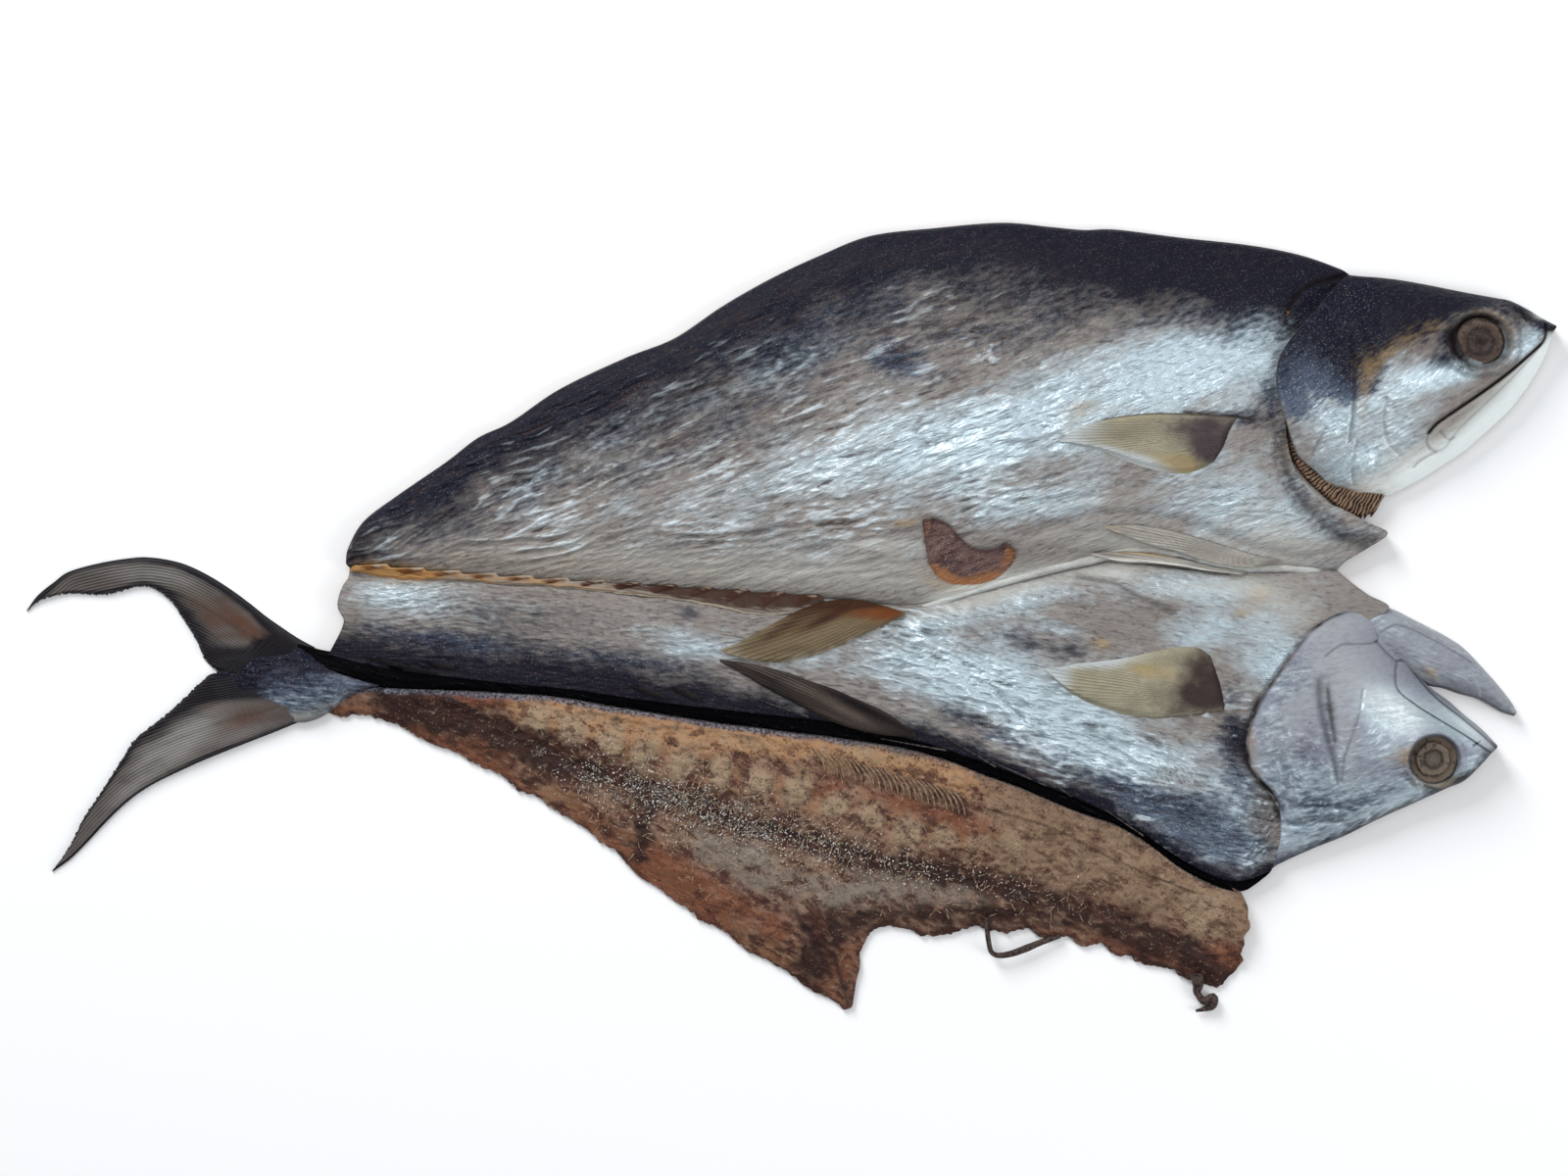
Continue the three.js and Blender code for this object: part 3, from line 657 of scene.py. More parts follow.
def flesh_finish(name, pale=(0.27, 0.165, 0.110), deep=(0.085, 0.036, 0.026)):
    """Dried cut flesh: fibrous, blotched from orange-brown to dark red, with dry salt on it."""
    flesh = Finish(name, Specular_IOR_Level=0.16)
    clouds = flesh.grain(11.0, 6.0)
    tatters = flesh.grain(4.2, 6.0, -24, 1.5)
    fibres = flesh.grain(1.5, 5.0, -28, 2.4)
    crumbs = flesh.grain(0.75, 3.0)
    ragged = (tatters - 0.5) * 1.9 + (crumbs - 0.5) * 0.8
    colour = flesh.blend(flesh.step(clouds + (fibres - 0.5) * 0.7 + (tatters - 0.5) * 0.5, 0.32, 0.68), deep, pale)
    for mask, share, blotch in (("orange", 0.9, (0.40, 0.22, 0.11)), ("calm", 0.85, (0.235, 0.152, 0.096)),
                                ("tan", 0.85, (0.35, 0.255, 0.165)),
                                ("rust", 0.85, (0.195, 0.070, 0.036)), ("crust", 0.9, (0.225, 0.185, 0.150)),
                                ("blood", 0.95, (0.024, 0.010, 0.009))):
        colour = flesh.blend(flesh.step(flesh.mask(mask) + ragged, 0.2, 0.85) * share, colour, blotch)
    shreds = flesh.step(tatters + (fibres - 0.5) * 0.5 + (crumbs - 0.5) * 0.35, 0.50, 0.34)
    colour = flesh.blend(shreds * 0.52, colour, (0.055, 0.021, 0.016))
    # flake_glints: lighter dry flakes with painted highlights on them.
    flake_glints = flesh.step(crumbs + (fibres - 0.5) * 0.5, 0.60, 0.74)
    colour = flesh.blend(flake_glints * 0.42, colour, (0.42, 0.30, 0.20))
    pits = flesh.step(crumbs + (fibres - 0.5) * 0.3, 0.42, 0.30)
    colour = flesh.blend(pits * 0.55, colour, (0.030, 0.012, 0.010))
    dust = flesh.step(flesh.grain(0.42, 2.0) + (fibres - 0.5) * 0.35, 0.52, 0.64)
    colour = flesh.blend(dust * flesh.step(flesh.mask("salted") + ragged, 0.45, 1.2) * 0.7, colour, (0.56, 0.54, 0.50))
    frosted = flesh.blend(flesh.step(crumbs, 0.38, 0.66), (0.022, 0.022, 0.036), (0.20, 0.20, 0.235))
    colour = flesh.blend(flesh.mask("frost"), colour, frosted)
    # line: painted shade in the grooves of the leaf.
    colour = flesh.blend(flesh.mask("line"), colour, (0.02, 0.008, 0.009))
    bump = flesh.relief(tatters, 1.2, 0.8)
    bump = flesh.relief(fibres, 0.7, 0.8, bump)
    bump = flesh.relief(crumbs, 0.35, 0.8, bump)
    roughness = 0.60 - flake_glints * 0.2 + (clouds - 0.5) * 0.3
    return flesh.wear(Base_Color=colour, Roughness=roughness, Normal=bump)


inner_flesh_finish = flesh_finish("inner_flesh", (0.40, 0.27, 0.17), (0.19, 0.10, 0.06))
RIB_PITCH = 7.5


def flesh_top(skin_top):
    return lambda x, y, u, v: np.maximum(skin_top(x, y, u, v) - SKIN_DEPTH, 0.9)


def cut_face(x, y, u, v):
    ribs = np.abs(np.sin(np.pi * (x + 0.5 * np.abs(y - 12)) / RIB_PITCH))
    return np.clip(0.30 + 0.25 * ribs * smooth(-20, 20, x) + 0.3 * rough(x, y, 9, 3, 31), 0.02, 0.9)


def inner_masks(x, y, u, v):
    lining = smooth(30, 6, np.abs(y - 12)) * smooth(-10, 40, x)
    ribs = 1 - np.abs(np.sin(np.pi * (x + 0.5 * np.abs(y - 12)) / RIB_PITCH))
    return dict(orange=0.35 + 0.3 * rough(x, y, 30, 2, 33), tan=0.5 * ribs ** 6, rust=x * 0 + 0.1,
                crust=0.25 * smooth(-0.2, 0.6, rough(x, y, 22, 3, 34)), blood=0.55 * lining, line=x * 0, calm=x * 0,
                frost=x * 0)


for side, place, top in (("right", right_place, right_top), ("left", left_place, left_top)):
    grow(side + "_side_flesh", place, (190, 60), flesh_top(top), cut_face, inner_masks,
         inner_flesh_finish, ["split_sides"])


# ---------------------------------------------------------------------------------------------
# The ridge of the back: a black strip of skin in the fold between the left side and the leaf
# with the backbone. It runs from the root of the tail to the nape.

RIDGE_HIGH = [(-150, -8.4), (-140, -10.7), (-125, -11.5), (-115, -13.3), (-105, -15), (-95, -16.5),
              (-75, -18), (-65, -19.3), (-55, -20.8), (-45, -22.2), (-20, -24.6), (0, -27),
              (15, -28.4), (25, -29.6), (40, -34), (50, -38.4), (60, -42.8), (70, -46.9), (80, -50.4),
              (90, -55), (100, -60.3), (110, -66.4), (120, -74.2), (130, -78.4), (140, -79.4), (147, -77.4)]
RIDGE_LOW = [(-150, -14), (-137, -19.5), (-125, -21.6), (-105, -22.4), (-95, -22.8), (-85, -23.4),
             (-75, -24), (-65, -25.4), (-55, -27.2), (-45, -28.8), (-30, -31.2), (-20, -32.7),
             (-10, -33.8), (0, -35.2), (10, -36.3), (20, -37.8), (30, -39.3), (40, -41.4), (50, -44.5),
             (60, -48.5), (70, -52), (80, -56.3), (90, -60.3), (100, -63.7), (110, -69.5),
             (120, -77), (130, -82), (138, -84), (143, -81.4), (147, -78.2)]


def ridge_top(x, y, u, v):
    z = 3.6 + 1.9 * np.sin(np.pi * v) ** 0.6 * smooth(0, 0.05, u) * smooth(1, 0.9, u)
    return z + 1.0 * (folds(x, y, -14, 30, 2.2, 7) - 0.5) + 0.3 * rough(x, y, 5, 3, 41)


def ridge_masks(x, y, u, v):
    return dict(crest=folds(x, y, -14, 30, 2.2, 7), rim=smooth(0.2, 0.02, v) + 0 * x)


def ridge_finish():
    ridge = Finish("ridge_skin", Specular_IOR_Level=0.03)
    streaks = ridge.grain(0.8, 4.0, -14, 6.0)
    glints = ridge.step(ridge.grain(0.45, 2.0), 0.68, 0.76)
    colour = ridge.blend(ridge.step(streaks + (ridge.mask("crest") - 0.5) * 0.3, 0.60, 0.85),
                         (0.0014, 0.0012, 0.0019), (0.016, 0.015, 0.022))
    colour = ridge.blend(glints * 0.25, colour, (0.20, 0.24, 0.30))
    bump = ridge.relief(streaks, 0.4, 0.7)
    return ridge.wear(Base_Color=colour, Roughness=0.72 - streaks * 0.25, Normal=bump)


back_ridge = grow("back_ridge", leaf_between(RIDGE_LOW, RIDGE_HIGH), (360, 22), ridge_top,
                  lambda x, y, u, v: x * 0 + 0.4, ridge_masks, ridge_finish(), ["split_sides"])


# ---------------------------------------------------------------------------------------------
# The right half of the head: one hard case of skin over bone, with the gill cover's free edge
# towards the body, the long mouth slit, the bony plate over the lip, and the eye's sunken ring.

RIGHT_CROWN = [(171, 104.4), (175, 104), (185, 103.1), (195, 101.4), (205, 99.4), (215, 97.5),
               (220, 96.5), (225, 94.1), (229, 91.6), (233.2, 89)]
RIGHT_JAW = [(168, 37.6), (175, 36), (182, 36.3), (186, 38), (190, 40), (194, 42.3), (199.8, 46),
             (205.8, 50), (210.6, 54), (217.2, 60), (221.1, 64), (224.1, 68), (226.8, 72), (229.2, 76),
             (231, 80), (232, 83), (232.8, 86.8)]
RIGHT_GILL_COVER = [(168, 37.9), (164.6, 40.4), (160, 44.6), (157.2, 46.8), (154.8, 49.4), (153, 54),
                    (151.6, 58.4), (149.8, 64), (148.4, 69), (148.3, 74.6), (149.6, 79.6), (152.6, 84.4),
                    (156.2, 88.8), (160.6, 93.4), (165, 98.8), (171, 104.4)]
RIGHT_EYE = (209.6, 83.4)
RIGHT_MOUTH = [(229.8, 88.4), (229.6, 85), (228, 82.4), (222, 77), (216, 72.2), (210, 67.8), (205, 64.4),
               (200, 61), (196.4, 58.4), (194.2, 55.8)]
RIGHT_LIP_PLATE = [(194.2, 55.8), (193.5, 53.2), (194.8, 50.9), (197, 50.3), (199.6, 51.6), (203, 56.4),
                   (210, 63.4), (218, 71), (226, 79.6), (228, 82.4), (216, 72.2), (205, 64.4), (197, 58.8)]
HEAD_LINES = [([(170.6, 84.6), (171.6, 77), (171.4, 69), (170.9, 61), (170, 53)], 0.45, 0.55),
              ([(181, 66), (180.2, 59), (182, 52.4), (186, 49)], 0.5, 0.25),
              ([(163, 57), (160.6, 52.6), (159, 49)], 0.45, 0.4),
              ([(172, 40), (171, 46), (172.4, 53)], 0.5, 0.3),
              ([(196.6, 50), (192, 47.4), (190, 45.4)], 0.35, 0.4),
              ([(197.4, 56.2), (200, 53.8), (202, 54.4)], 0.3, 0.35),
              ([(222.2, 93.4), (223.2, 91.4), (224, 90)], 0.4, 0.9),
              ([(220.6, 94), (221.2, 92.6)], 0.35, 0.7)]
SOCKET_SIZE = (9.4, 8.2)


def half_head(edge_rise, full, u, v):
    """The round back of a half head, high at the gill cover and running out at the snout."""
    arch = np.clip(np.sin(np.pi * v), 0, 1) ** 0.42
    return 2.2 + arch * (edge_rise + (full - edge_rise) * np.sin(np.pi * (0.08 + 0.80 * np.clip(u, 0, 1))) ** 0.8)


def socket(x, y, middle, size):
    """Distance from the middle of the eye as a share of the socket's size."""
    return np.sqrt(((x - middle[0]) / size[0]) ** 2 + ((y - middle[1]) / size[1]) ** 2)


def right_head_top(x, y, u, v):
    z = half_head(6.5, 15.0, u, v)
    z += 0.6 * rough(x, y, 16, 3, 51) + 0.10 * rough(x, y, 1.6, 2, 52)
    z += 0.45 * (folds(x, y, 35, 7, 2.0, 8) - 0.3) * smooth(215, 165, x)
    z += 0.8 * smooth(-0.3, 0.5, within(RIGHT_LIP_PLATE, x, y))
    z -= 1.6 * groove(RIGHT_MOUTH, 0.55, x, y)
    for points, width, depth in HEAD_LINES:
        z -= 1.3 * depth * groove(points, width * 1.2, x, y)
    ring = socket(x, y, RIGHT_EYE, SOCKET_SIZE)
    z -= 3.0 * smooth(1.12, 0.80, ring) - 0.7 * np.exp(-((ring - 1.22) / 0.12) ** 2)
    return np.maximum(z, 1.0)


def right_head_masks(x, y, u, v):
    shade_line = np.interp(x, [148, 156, 163, 170, 176, 184, 192, 200, 208, 216, 224, 228, 234],
                           [69, 72, 73, 70, 71.5, 79, 84, 87.5, 91.5, 92.6, 91, 89, 86])
    over = (y - shade_line) + 4.5 * rough(x, y, 9, 4, 53)
    dusk = smooth(-6.0, 6.0 + 6 * smooth(176, 158, x), over) * (1 - 0.25 * smooth(162, 150, x))
    dusk = np.maximum(dusk, 0.5 * np.exp(-((socket(x, y, RIGHT_EYE, SOCKET_SIZE) - 1.15) / 0.16) ** 2))
    dusk = np.maximum(dusk, spots(x, y, [((199, 85), (5, 6), -30, 0.8), ((198, 77.6), (6, 2.6), 20, 0.75),
                                         ((228, 88.8), (6, 2.6), -30, 0.85), ((222, 93.4), (4, 2.2), -30, 0.8),
                                         ((232, 89.4), (3, 3), 0, 0.95)]))
    blue = np.maximum(spots(x, y, [((158, 78), (12, 9), 0, 1.0), ((153, 68), (4, 9), 0, 0.6),
                                   ((158, 62), (8, 5), 0, 0.35), ((228, 88), (6, 5), 0, 0.3)]),
                      0.9 * smooth(-8, -1, over) * smooth(188, 172, x))
    silver = spots(x, y, [((184, 60), (12, 14), 30, 0.75), ((163, 58), (9, 9), 0, 0.75),
                          ((197, 74), (14, 5), 12, 0.9), ((172, 46), (12, 6), 20, 0.9),
                          ((224, 84), (10, 4), 45, 0.7), ((182, 80), (6, 4), 30, 0.35)])
    stain = spots(x, y, [((175, 72), (4, 6), -5, 0.62), ((187, 82.6), (9, 4.6), 35, 0.46),
                         ((180, 78), (7, 2.4), 45, 0.35), ((182.5, 60), (2.6, 9), 5, 0.45),
                         ((197, 88), (4, 3), 30, 0.45), ((174, 60), (2, 8), 0, 0.4),
                         ((192, 50), (5, 3), 30, 0.3)])
    ring = socket(x, y, RIGHT_EYE, SOCKET_SIZE) + 0.09 * rough(x, y, 6, 3, 56)
    jaw_side = smooth(1.5, -2, within(RIGHT_MOUTH + [(185, 52), (182, 70), (214, 96)], x, y))
    pale = np.maximum(1.25 * smooth(11, 2, away_from(line_through(RIGHT_JAW, 60), x, y)) * smooth(168, 178, x),
                      spots(x, y, [((215, 62), (22, 6.5), 48, 1.0), ((190, 46), (16, 4.5), 30, 0.95),
                                   ((186, 52), (8, 5), 30, 0.5)]))
    # lines: painted shade in the mouth slit, the grooves, round the lip plate's edge and inside the eye socket; shaded
    # makes the socket's painted shade stronger on one side.
    lines = groove(RIGHT_MOUTH, 0.42, x, y) + sum(
        depth * groove(points, width, x, y) for points, width, depth in HEAD_LINES)
    lines = lines + 0.35 * np.exp(-((within(RIGHT_LIP_PLATE, x, y)) / 0.3) ** 2)
    shaded = np.clip(0.60 + 0.35 * smooth(6, -6, x - 209.6 - 0.7 * (y - 83.4)) + 0.35 * rough(x, y, 4, 3, 57), 0, 1)
    lines = lines + 0.6 * np.exp(-((ring - 1.04) / 0.10) ** 2) * shaded ** 2 + smooth(1.06, 0.9, ring) * shaded
    warm_ring = 0.9 * np.exp(-((ring - 1.10) / 0.14) ** 2) * smooth(198, 212, x)
    return dict(dusk=dusk * (1 - 0.7 * warm_ring), silver=silver, blue=blue,
                milky=np.clip(0.95 * smooth(10, 3, away_from(line_through(RIGHT_JAW, 60), x, y)) * jaw_side
                              * smooth(172, 190, x), 0, 1) * (1 - dusk),
                stain=np.clip(stain + 0.5 * warm_ring, 0, 1), crest=folds(x, y, 35, 7, 2.0, 8) * silver,
                creased=0.30 * silver, raw=x * 0, pale=np.clip(pale * (1 - dusk) * jaw_side, 0, 1.25),
                line=np.clip(lines, 0, 1))


def head_under(x, y, u, v):
    """The sawn face of the half head: low, with soft random bumps."""
    return np.clip(0.5 + 0.6 * rough(x, y, 7, 3, 55), 0.02, 1.0)


right_head = grow("right_head", leaf_between(RIGHT_JAW, RIGHT_CROWN, RIGHT_GILL_COVER), (200, 170),
                  right_head_top, head_under, right_head_masks, skin_finish("right_head_skin", 35, scaly=0.75),
                  ["split_sides"])


# ---------------------------------------------------------------------------------------------
# The left half of the head: silver cheek, smooth violet-grey gill plates with a streak between
# them, and a lower jaw that gapes away from the upper one.

LEFT_PROFILE = [(147, -77.6), (150, -75.6), (160, -71), (170, -67), (180, -62), (190, -57.5),
                (200, -53), (206, -50.3), (210, -46.6), (213, -43.2), (215, -40.6)]
LEFT_LIP = [(180, 3.2), (184, -4), (187, -11), (191, -16.6), (195.6, -21.4), (199, -24), (202, -26.2),
            (206, -29.8), (210, -33), (213, -35.8), (215.4, -38.6)]
LEFT_GILL_COVER = [(147, -77.6), (149.6, -68), (149.4, -58.6), (147, -54), (143, -49.6), (140, -44.6),
                   (139, -38.4), (140, -33), (142, -28), (146, -21), (150, -15.4), (154, -10),
                   (157, -6.2), (160, -3.2), (165, 0), (170, 1.7), (175, 2.8), (180, 3.2)]
LEFT_EYE = (195.6, -43.2)
LEFT_SOCKET = (7.5, 7.3)
UPPER_LIP_PLATE = [(185, -13.4), (188, -13.8), (191.4, -18.4), (197, -25), (205, -31.2), (214.4, -39.6),
                   (213.4, -41.4), (205, -36), (196, -30.6), (190, -26.8), (184.6, -22.2), (184.2, -17)]
LEFT_LINES = [([(160.8, -20), (161, -27), (162.6, -35), (164.6, -42), (166.4, -50)], 0.9, 0.55),
              ([(163.4, -22), (164.2, -30), (165.4, -38)], 0.5, 0.6),
              ([(174, -22), (172.6, -30), (170.4, -36), (168, -43.6), (167.6, -50)], 0.4, 0.35),
              ([(179.6, -0.4), (179.3, -4.4), (178.8, -7.6), (173, -8.4), (168, -8.6), (163, -12)], 0.3, 0.4),
              ([(178.8, -7.6), (182, -11), (184.4, -13.2)], 0.4, 0.5),
              ([(152, -63), (160, -62.4), (168, -62)], 0.9, 0.5),
              ([(154, -58), (162, -57.6), (170, -58.4)], 0.5, 0.3),
              ([(143, -50), (147, -54), (150, -59)], 0.7, 0.5),
              ([(193, -51.2), (198, -52.6), (203, -52)], 0.5, 0.7),
              ([(186, -48), (192, -52), (200, -54)], 0.9, 0.3),
              ([(207.8, -39), (209.8, -37.8)], 0.3, 0.5)]


def left_head_top(x, y, u, v):
    z = half_head(5.5, 15.0, u, v)
    z += 0.6 * rough(x, y, 16, 3, 61) + 0.10 * rough(x, y, 1.6, 2, 62)
    z += 0.3 * (folds(x, y, 12, 7, 2.2, 9) - 0.3) * (smooth(-18, -36, y) * smooth(206, 190, x))
    z += 0.9 * smooth(-0.3, 0.5, within(UPPER_LIP_PLATE, x, y))
    for points, width, depth in LEFT_LINES:
        z -= 1.2 * depth * groove(points, width * 1.2, x, y)
    ring = socket(x, y, LEFT_EYE, LEFT_SOCKET)
    z -= 4.6 * smooth(1.06, 0.88, ring) - 0.6 * np.exp(-((ring - 1.18) / 0.1) ** 2)
    return np.maximum(z, 1.0)


def left_head_masks(x, y, u, v):
    low_edge = away_from(line_through(LEFT_PROFILE, 60), x, y) + 2 * rough(x, y, 8, 3, 63)
    dusk = np.maximum(smooth(4.5, 0.5, low_edge) * 0.8,
                      spots(x, y, [((158, -40), (4, 6), 10, 0.35), ((164, -29), (1.6, 9), 6, 0.6),
                                   ((188, -44.6), (5, 4), 10, 0.35), ((156, -57), (12, 2), 0, 0.3)]))
    silver = spots(x, y, [((182, -29), (12, 9), -20, 1.0), ((158, -50), (16, 8), -10, 0.55),
                          ((174, -56), (18, 7), 10, 0.55), ((204, -34), (9, 4), -35, 0.9),
                          ((190, -55), (14, 4), 20, 0.7), ((156, -66), (14, 7), 20, 0.7),
                          ((148, -30), (5, 14), -25, 0.4), ((208, -45), (4, 5), -30, 0.5)])
    blue = spots(x, y, [((162, -60), (24, 11), 15, 0.42), ((152, -44), (11, 12), 0, 0.36),
                        ((176, -56), (14, 3), 20, 0.34), ((164, -14), (12, 14), 0, 0.30),
                        ((150, -24), (8, 14), -30, 0.30)])
    stain = spots(x, y, [((186, -42), (5, 5), 10, 0.5), ((174, -18), (3, 7), 0, 0.3),
                         ((140.6, -38), (1.6, 10), 5, 0.85), ((196, -51), (9, 1.6), 0, 0.5),
                         ((152, -13), (10, 1.5), 55, 0.45), ((143.5, -51), (5, 1.8), -50, 0.6)])
    ring = socket(x, y, LEFT_EYE, LEFT_SOCKET)
    plates = spots(x, y, [((168, -14), (13, 9), 10, 1.0), ((168, -32), (4, 18), 8, 0.8),
                          ((153, -30), (7, 16), -30, 0.75), ((165, -3), (14, 4), 15, 0.9)])
    pale = 0.30 * plates
    # lines: painted shade in the grooves, round the lip plate's edge and inside the eye socket; seam is painted shade
    # in the crevice along the gill cover's edge.
    lines = sum(depth * groove(points, width, x, y) for points, width, depth in LEFT_LINES)
    lines = lines + 0.75 * np.exp(-(within(UPPER_LIP_PLATE, x, y) / 0.35) ** 2)
    lines = lines + 0.55 * np.exp(-((ring - 1.03) / 0.05) ** 2) + smooth(1.0, 0.9, ring) * 0.88
    seam = smooth(1.3, 0.3, away_from(line_through(LEFT_GILL_COVER, 60), x, y)) * smooth(-60, -52, y)
    lines = lines + 0.85 * seam * (0.8 + 0.6 * rough(x, y, 4, 2, 64))
    warm_ring = 0.7 * np.exp(-((ring - 1.14) / 0.13) ** 2)
    creased = smooth(-18, -36, y) * smooth(206, 190, x)
    return dict(dusk=dusk, silver=silver * (1 - plates * 0.7), blue=blue, raw=x * 0,
                stain=np.clip(stain + 0.35 * warm_ring, 0, 1), crest=0.7 * folds(x, y, 12, 7, 2.2, 9) * creased,
                milky=spots(x, y, [((183, -28), (11, 5), -35, 0.55), ((206, -34), (9, 2), -38, 0.45)]),
                creased=0.12 * creased, pale=pale, line=np.clip(lines, 0, 1))


left_head_finish = skin_finish("left_head_skin", 12, LAVENDER, 0.45)
left_head = grow("left_head", leaf_between(LEFT_PROFILE, LEFT_LIP, LEFT_GILL_COVER), (190, 180),
                 left_head_top, head_under, left_head_masks, left_head_finish, ["split_sides"])

JAW_RIM = [(173, -5), (180, -11.4), (184, -14), (189, -17.6), (195, -20.9), (200, -22), (205, -23.7), (210, -25),
           (214, -27), (218, -29.3), (221.4, -30.4)]
JAW_THROAT = [(172, 2.4), (179.6, 3.6), (185, 2), (190, -0.5), (195, -3), (200, -5.6), (205, -8.7), (208, -11.4),
              (211, -14.6), (215, -19), (218, -22.6), (220.6, -26), (222.3, -29)]


def jaw_top(x, y, u, v):
    arch = np.clip(np.sin(np.pi * v), 0, 1) ** 0.5
    z = 2.2 + 8.0 * arch * np.sin(np.pi * (0.12 + 0.80 * np.clip(u, 0, 1))) ** 0.8
    z += 0.35 * (folds(x, y, -38, 16, 1.8, 10) - 0.3) + 0.12 * rough(x, y, 2, 2, 65)
    z += 0.8 * groove([(193, -15), (195.4, -16.8), (197, -19)], 1.2, x, y)
    return np.maximum(z, 0.9)


def jaw_masks(x, y, u, v):
    teeth = smooth(1.0, 0.3, away_from(line_through(JAW_RIM, 60), x, y))
    return dict(dusk=0.12 * smooth(0.8, 1.0, u) + 0 * x, silver=x * 0 + 0.15, blue=x * 0 + 0.12,
                stain=spots(x, y, [((195.5, -17), (3.4, 2), -30, 0.9), ((204, -12), (14, 4), -38, 0.2)]),
                crest=folds(x, y, -38, 20, 1.8, 10) * 0.6, creased=x * 0 + 0.25, raw=x * 0,
                pale=0.12 + 0.3 * spot(x, y, (193, -18), (5, 2), -35) + 0.2 * smooth(2.5, 0.5, away_from(
                    line_through(JAW_THROAT, 60), x, y)),
                line=np.clip(0.6 * teeth + 0.4 * groove([(181, -4), (186, -2.6), (196, -7), (208, -14)],
                                                        0.3, x, y), 0, 1))


left_jaw = grow("left_lower_jaw", leaf_between(JAW_RIM, JAW_THROAT), (110, 60), jaw_top, head_under,
                jaw_masks, left_head_finish, ["split_sides"])


# ---------------------------------------------------------------------------------------------
# The eyes: balls that have shrunk flat in their sockets, in rings of brown and grey.

def eye_finish(name, rings):
    iris = Finish(name, Specular_IOR_Level=0.2)
    radius = iris.mask("radius") + (iris.grain(3.0, 5.0) - 0.5) * 0.28
    colour = iris.node("ValToRGB", [radius], stops=rings)
    colour = iris.blend(iris.step(iris.grain(0.7, 4.0), 0.56, 0.70) * 0.22, colour, (0.24, 0.19, 0.16))
    colour = iris.blend(iris.step(iris.grain(1.8, 4.0), 0.48, 0.36) * 0.6, colour, (0.010, 0.007, 0.006))
    return iris.wear(Base_Color=colour, Roughness=iris.grain(0.8) * 0.4 + 0.35,
                     Normal=iris.relief(iris.grain(0.9, 4.0), 0.5, 0.9))


def sunken_eye(name, middle, rim_height, radius, profile, finish, node):
    """A lathed dome: profile is (share of the radius, height) from the rim to the middle."""
    maker = bmesh.new()
    outer = [maker.verts.new((share * radius * MM, 0, height * MM)) for share, height in profile]
    for a, b in zip(outer, outer[1:]):
        maker.edges.new((a, b))
    bmesh.ops.spin(maker, geom=maker.verts[:] + maker.edges[:], cent=(0, 0, 0), axis=(0, 0, 1),
                   angle=math.tau, steps=56, use_merge=True, use_duplicate=False)
    bmesh.ops.remove_doubles(maker, verts=maker.verts, dist=0.01 * MM)
    bmesh.ops.recalc_face_normals(maker, faces=maker.faces)
    mesh = bpy.data.meshes.new(name)
    maker.to_mesh(mesh)
    maker.free()
    spread = [math.hypot(v.co.x, v.co.y) / (radius * MM) for v in mesh.vertices]
    layer = mesh.attributes.new("radius", "FLOAT", "POINT")
    layer.data.foreach_set("value", spread)
    for v, share in zip(mesh.vertices, spread):
        around = math.atan2(v.co.y, v.co.x)
        v.co *= 1 + 0.014 * math.sin(2 * around + middle[0]) + 0.008 * math.sin(3 * around + 1)
        sag = float(rough(np.array([v.co.x / MM + 40]), np.array([v.co.y / MM]), 4.0, 3, 71)[0])
        v.co += Vector((middle[0] * MM, middle[1] * MM, (rim_height + 0.35 * sag * (share < 0.99)) * MM))
    mesh.polygons.foreach_set("use_smooth", [True] * len(mesh.polygons))
    mesh.materials.append(finish)
    return settle(name, mesh, [node])


RIGHT_EYE_RINGS = [(0.0, (0.012, 0.007, 0.006)), (0.18, (0.035, 0.022, 0.018)), (0.34, (0.060, 0.042, 0.036)),
                   (0.52, (0.022, 0.014, 0.012)), (0.72, (0.085, 0.056, 0.044)), (0.82, (0.11, 0.078, 0.062)),
                   (0.94, (0.012, 0.008, 0.007))]
LEFT_EYE_RINGS = [(0.0, (0.115, 0.095, 0.078)), (0.28, (0.085, 0.068, 0.056)), (0.38, (0.030, 0.021, 0.017)),
                  (0.48, (0.130, 0.100, 0.074)), (0.62, (0.160, 0.125, 0.094)), (0.69, (0.045, 0.030, 0.023)),
                  (0.77, (0.130, 0.098, 0.072)), (0.97, (0.150, 0.110, 0.080)), (1.0, (0.03, 0.018, 0.014))]
DOME = [(0.0, -3.0), (0.9, -2.6), (1.0, -0.6), (0.97, 0.1), (0.92, 0.5), (0.86, 0.35), (0.80, 0.55),
        (0.72, 1.05), (0.64, 1.3), (0.55, 1.2), (0.47, 1.35), (0.38, 1.15), (0.30, 0.85), (0.2, 0.75),
        (0.1, 0.7), (0.0, 0.68)]
sunken_eye("right_eyeball", RIGHT_EYE, 13.2, 7.6, DOME, eye_finish("right_eye", RIGHT_EYE_RINGS), "right_eye")
sunken_eye("left_eyeball", LEFT_EYE, 12.4, 7.4, DOME, eye_finish("left_eye", LEFT_EYE_RINGS), "left_eye")


# ---------------------------------------------------------------------------------------------
# The gill comb in the open slit behind the right gill cover: brown dried filaments side by side.

COMB_ROOT = [(154.6, 57), (157.4, 50.4), (162.4, 44), (168.4, 40), (175, 38), (181.6, 37)]
COMB_TIPS = [(151.2, 56.6), (153.2, 49.2), (157.4, 42.6), (163, 37.2), (168.4, 33), (173.4, 30.6), (178.6, 31.4)]
FILAMENTS = 34


def comb_top(x, y, u, v):
    blade = np.abs(np.sin(np.pi * FILAMENTS * u + 1.5 * swell(u * 22, v * 3, 81)))
    return 5.2 + 1.4 * v + 0.8 * blade + 0.7 * rough(x, y, 3, 3, 82) - 1.2 * smooth(0.12, 0, v)


def comb_masks(x, y, u, v):
    return dict(blade=np.abs(np.sin(np.pi * FILAMENTS * u + 1.5 * swell(u * 22, v * 3, 81))),
                tips=smooth(0.35, 0.0, v) + 0 * x)


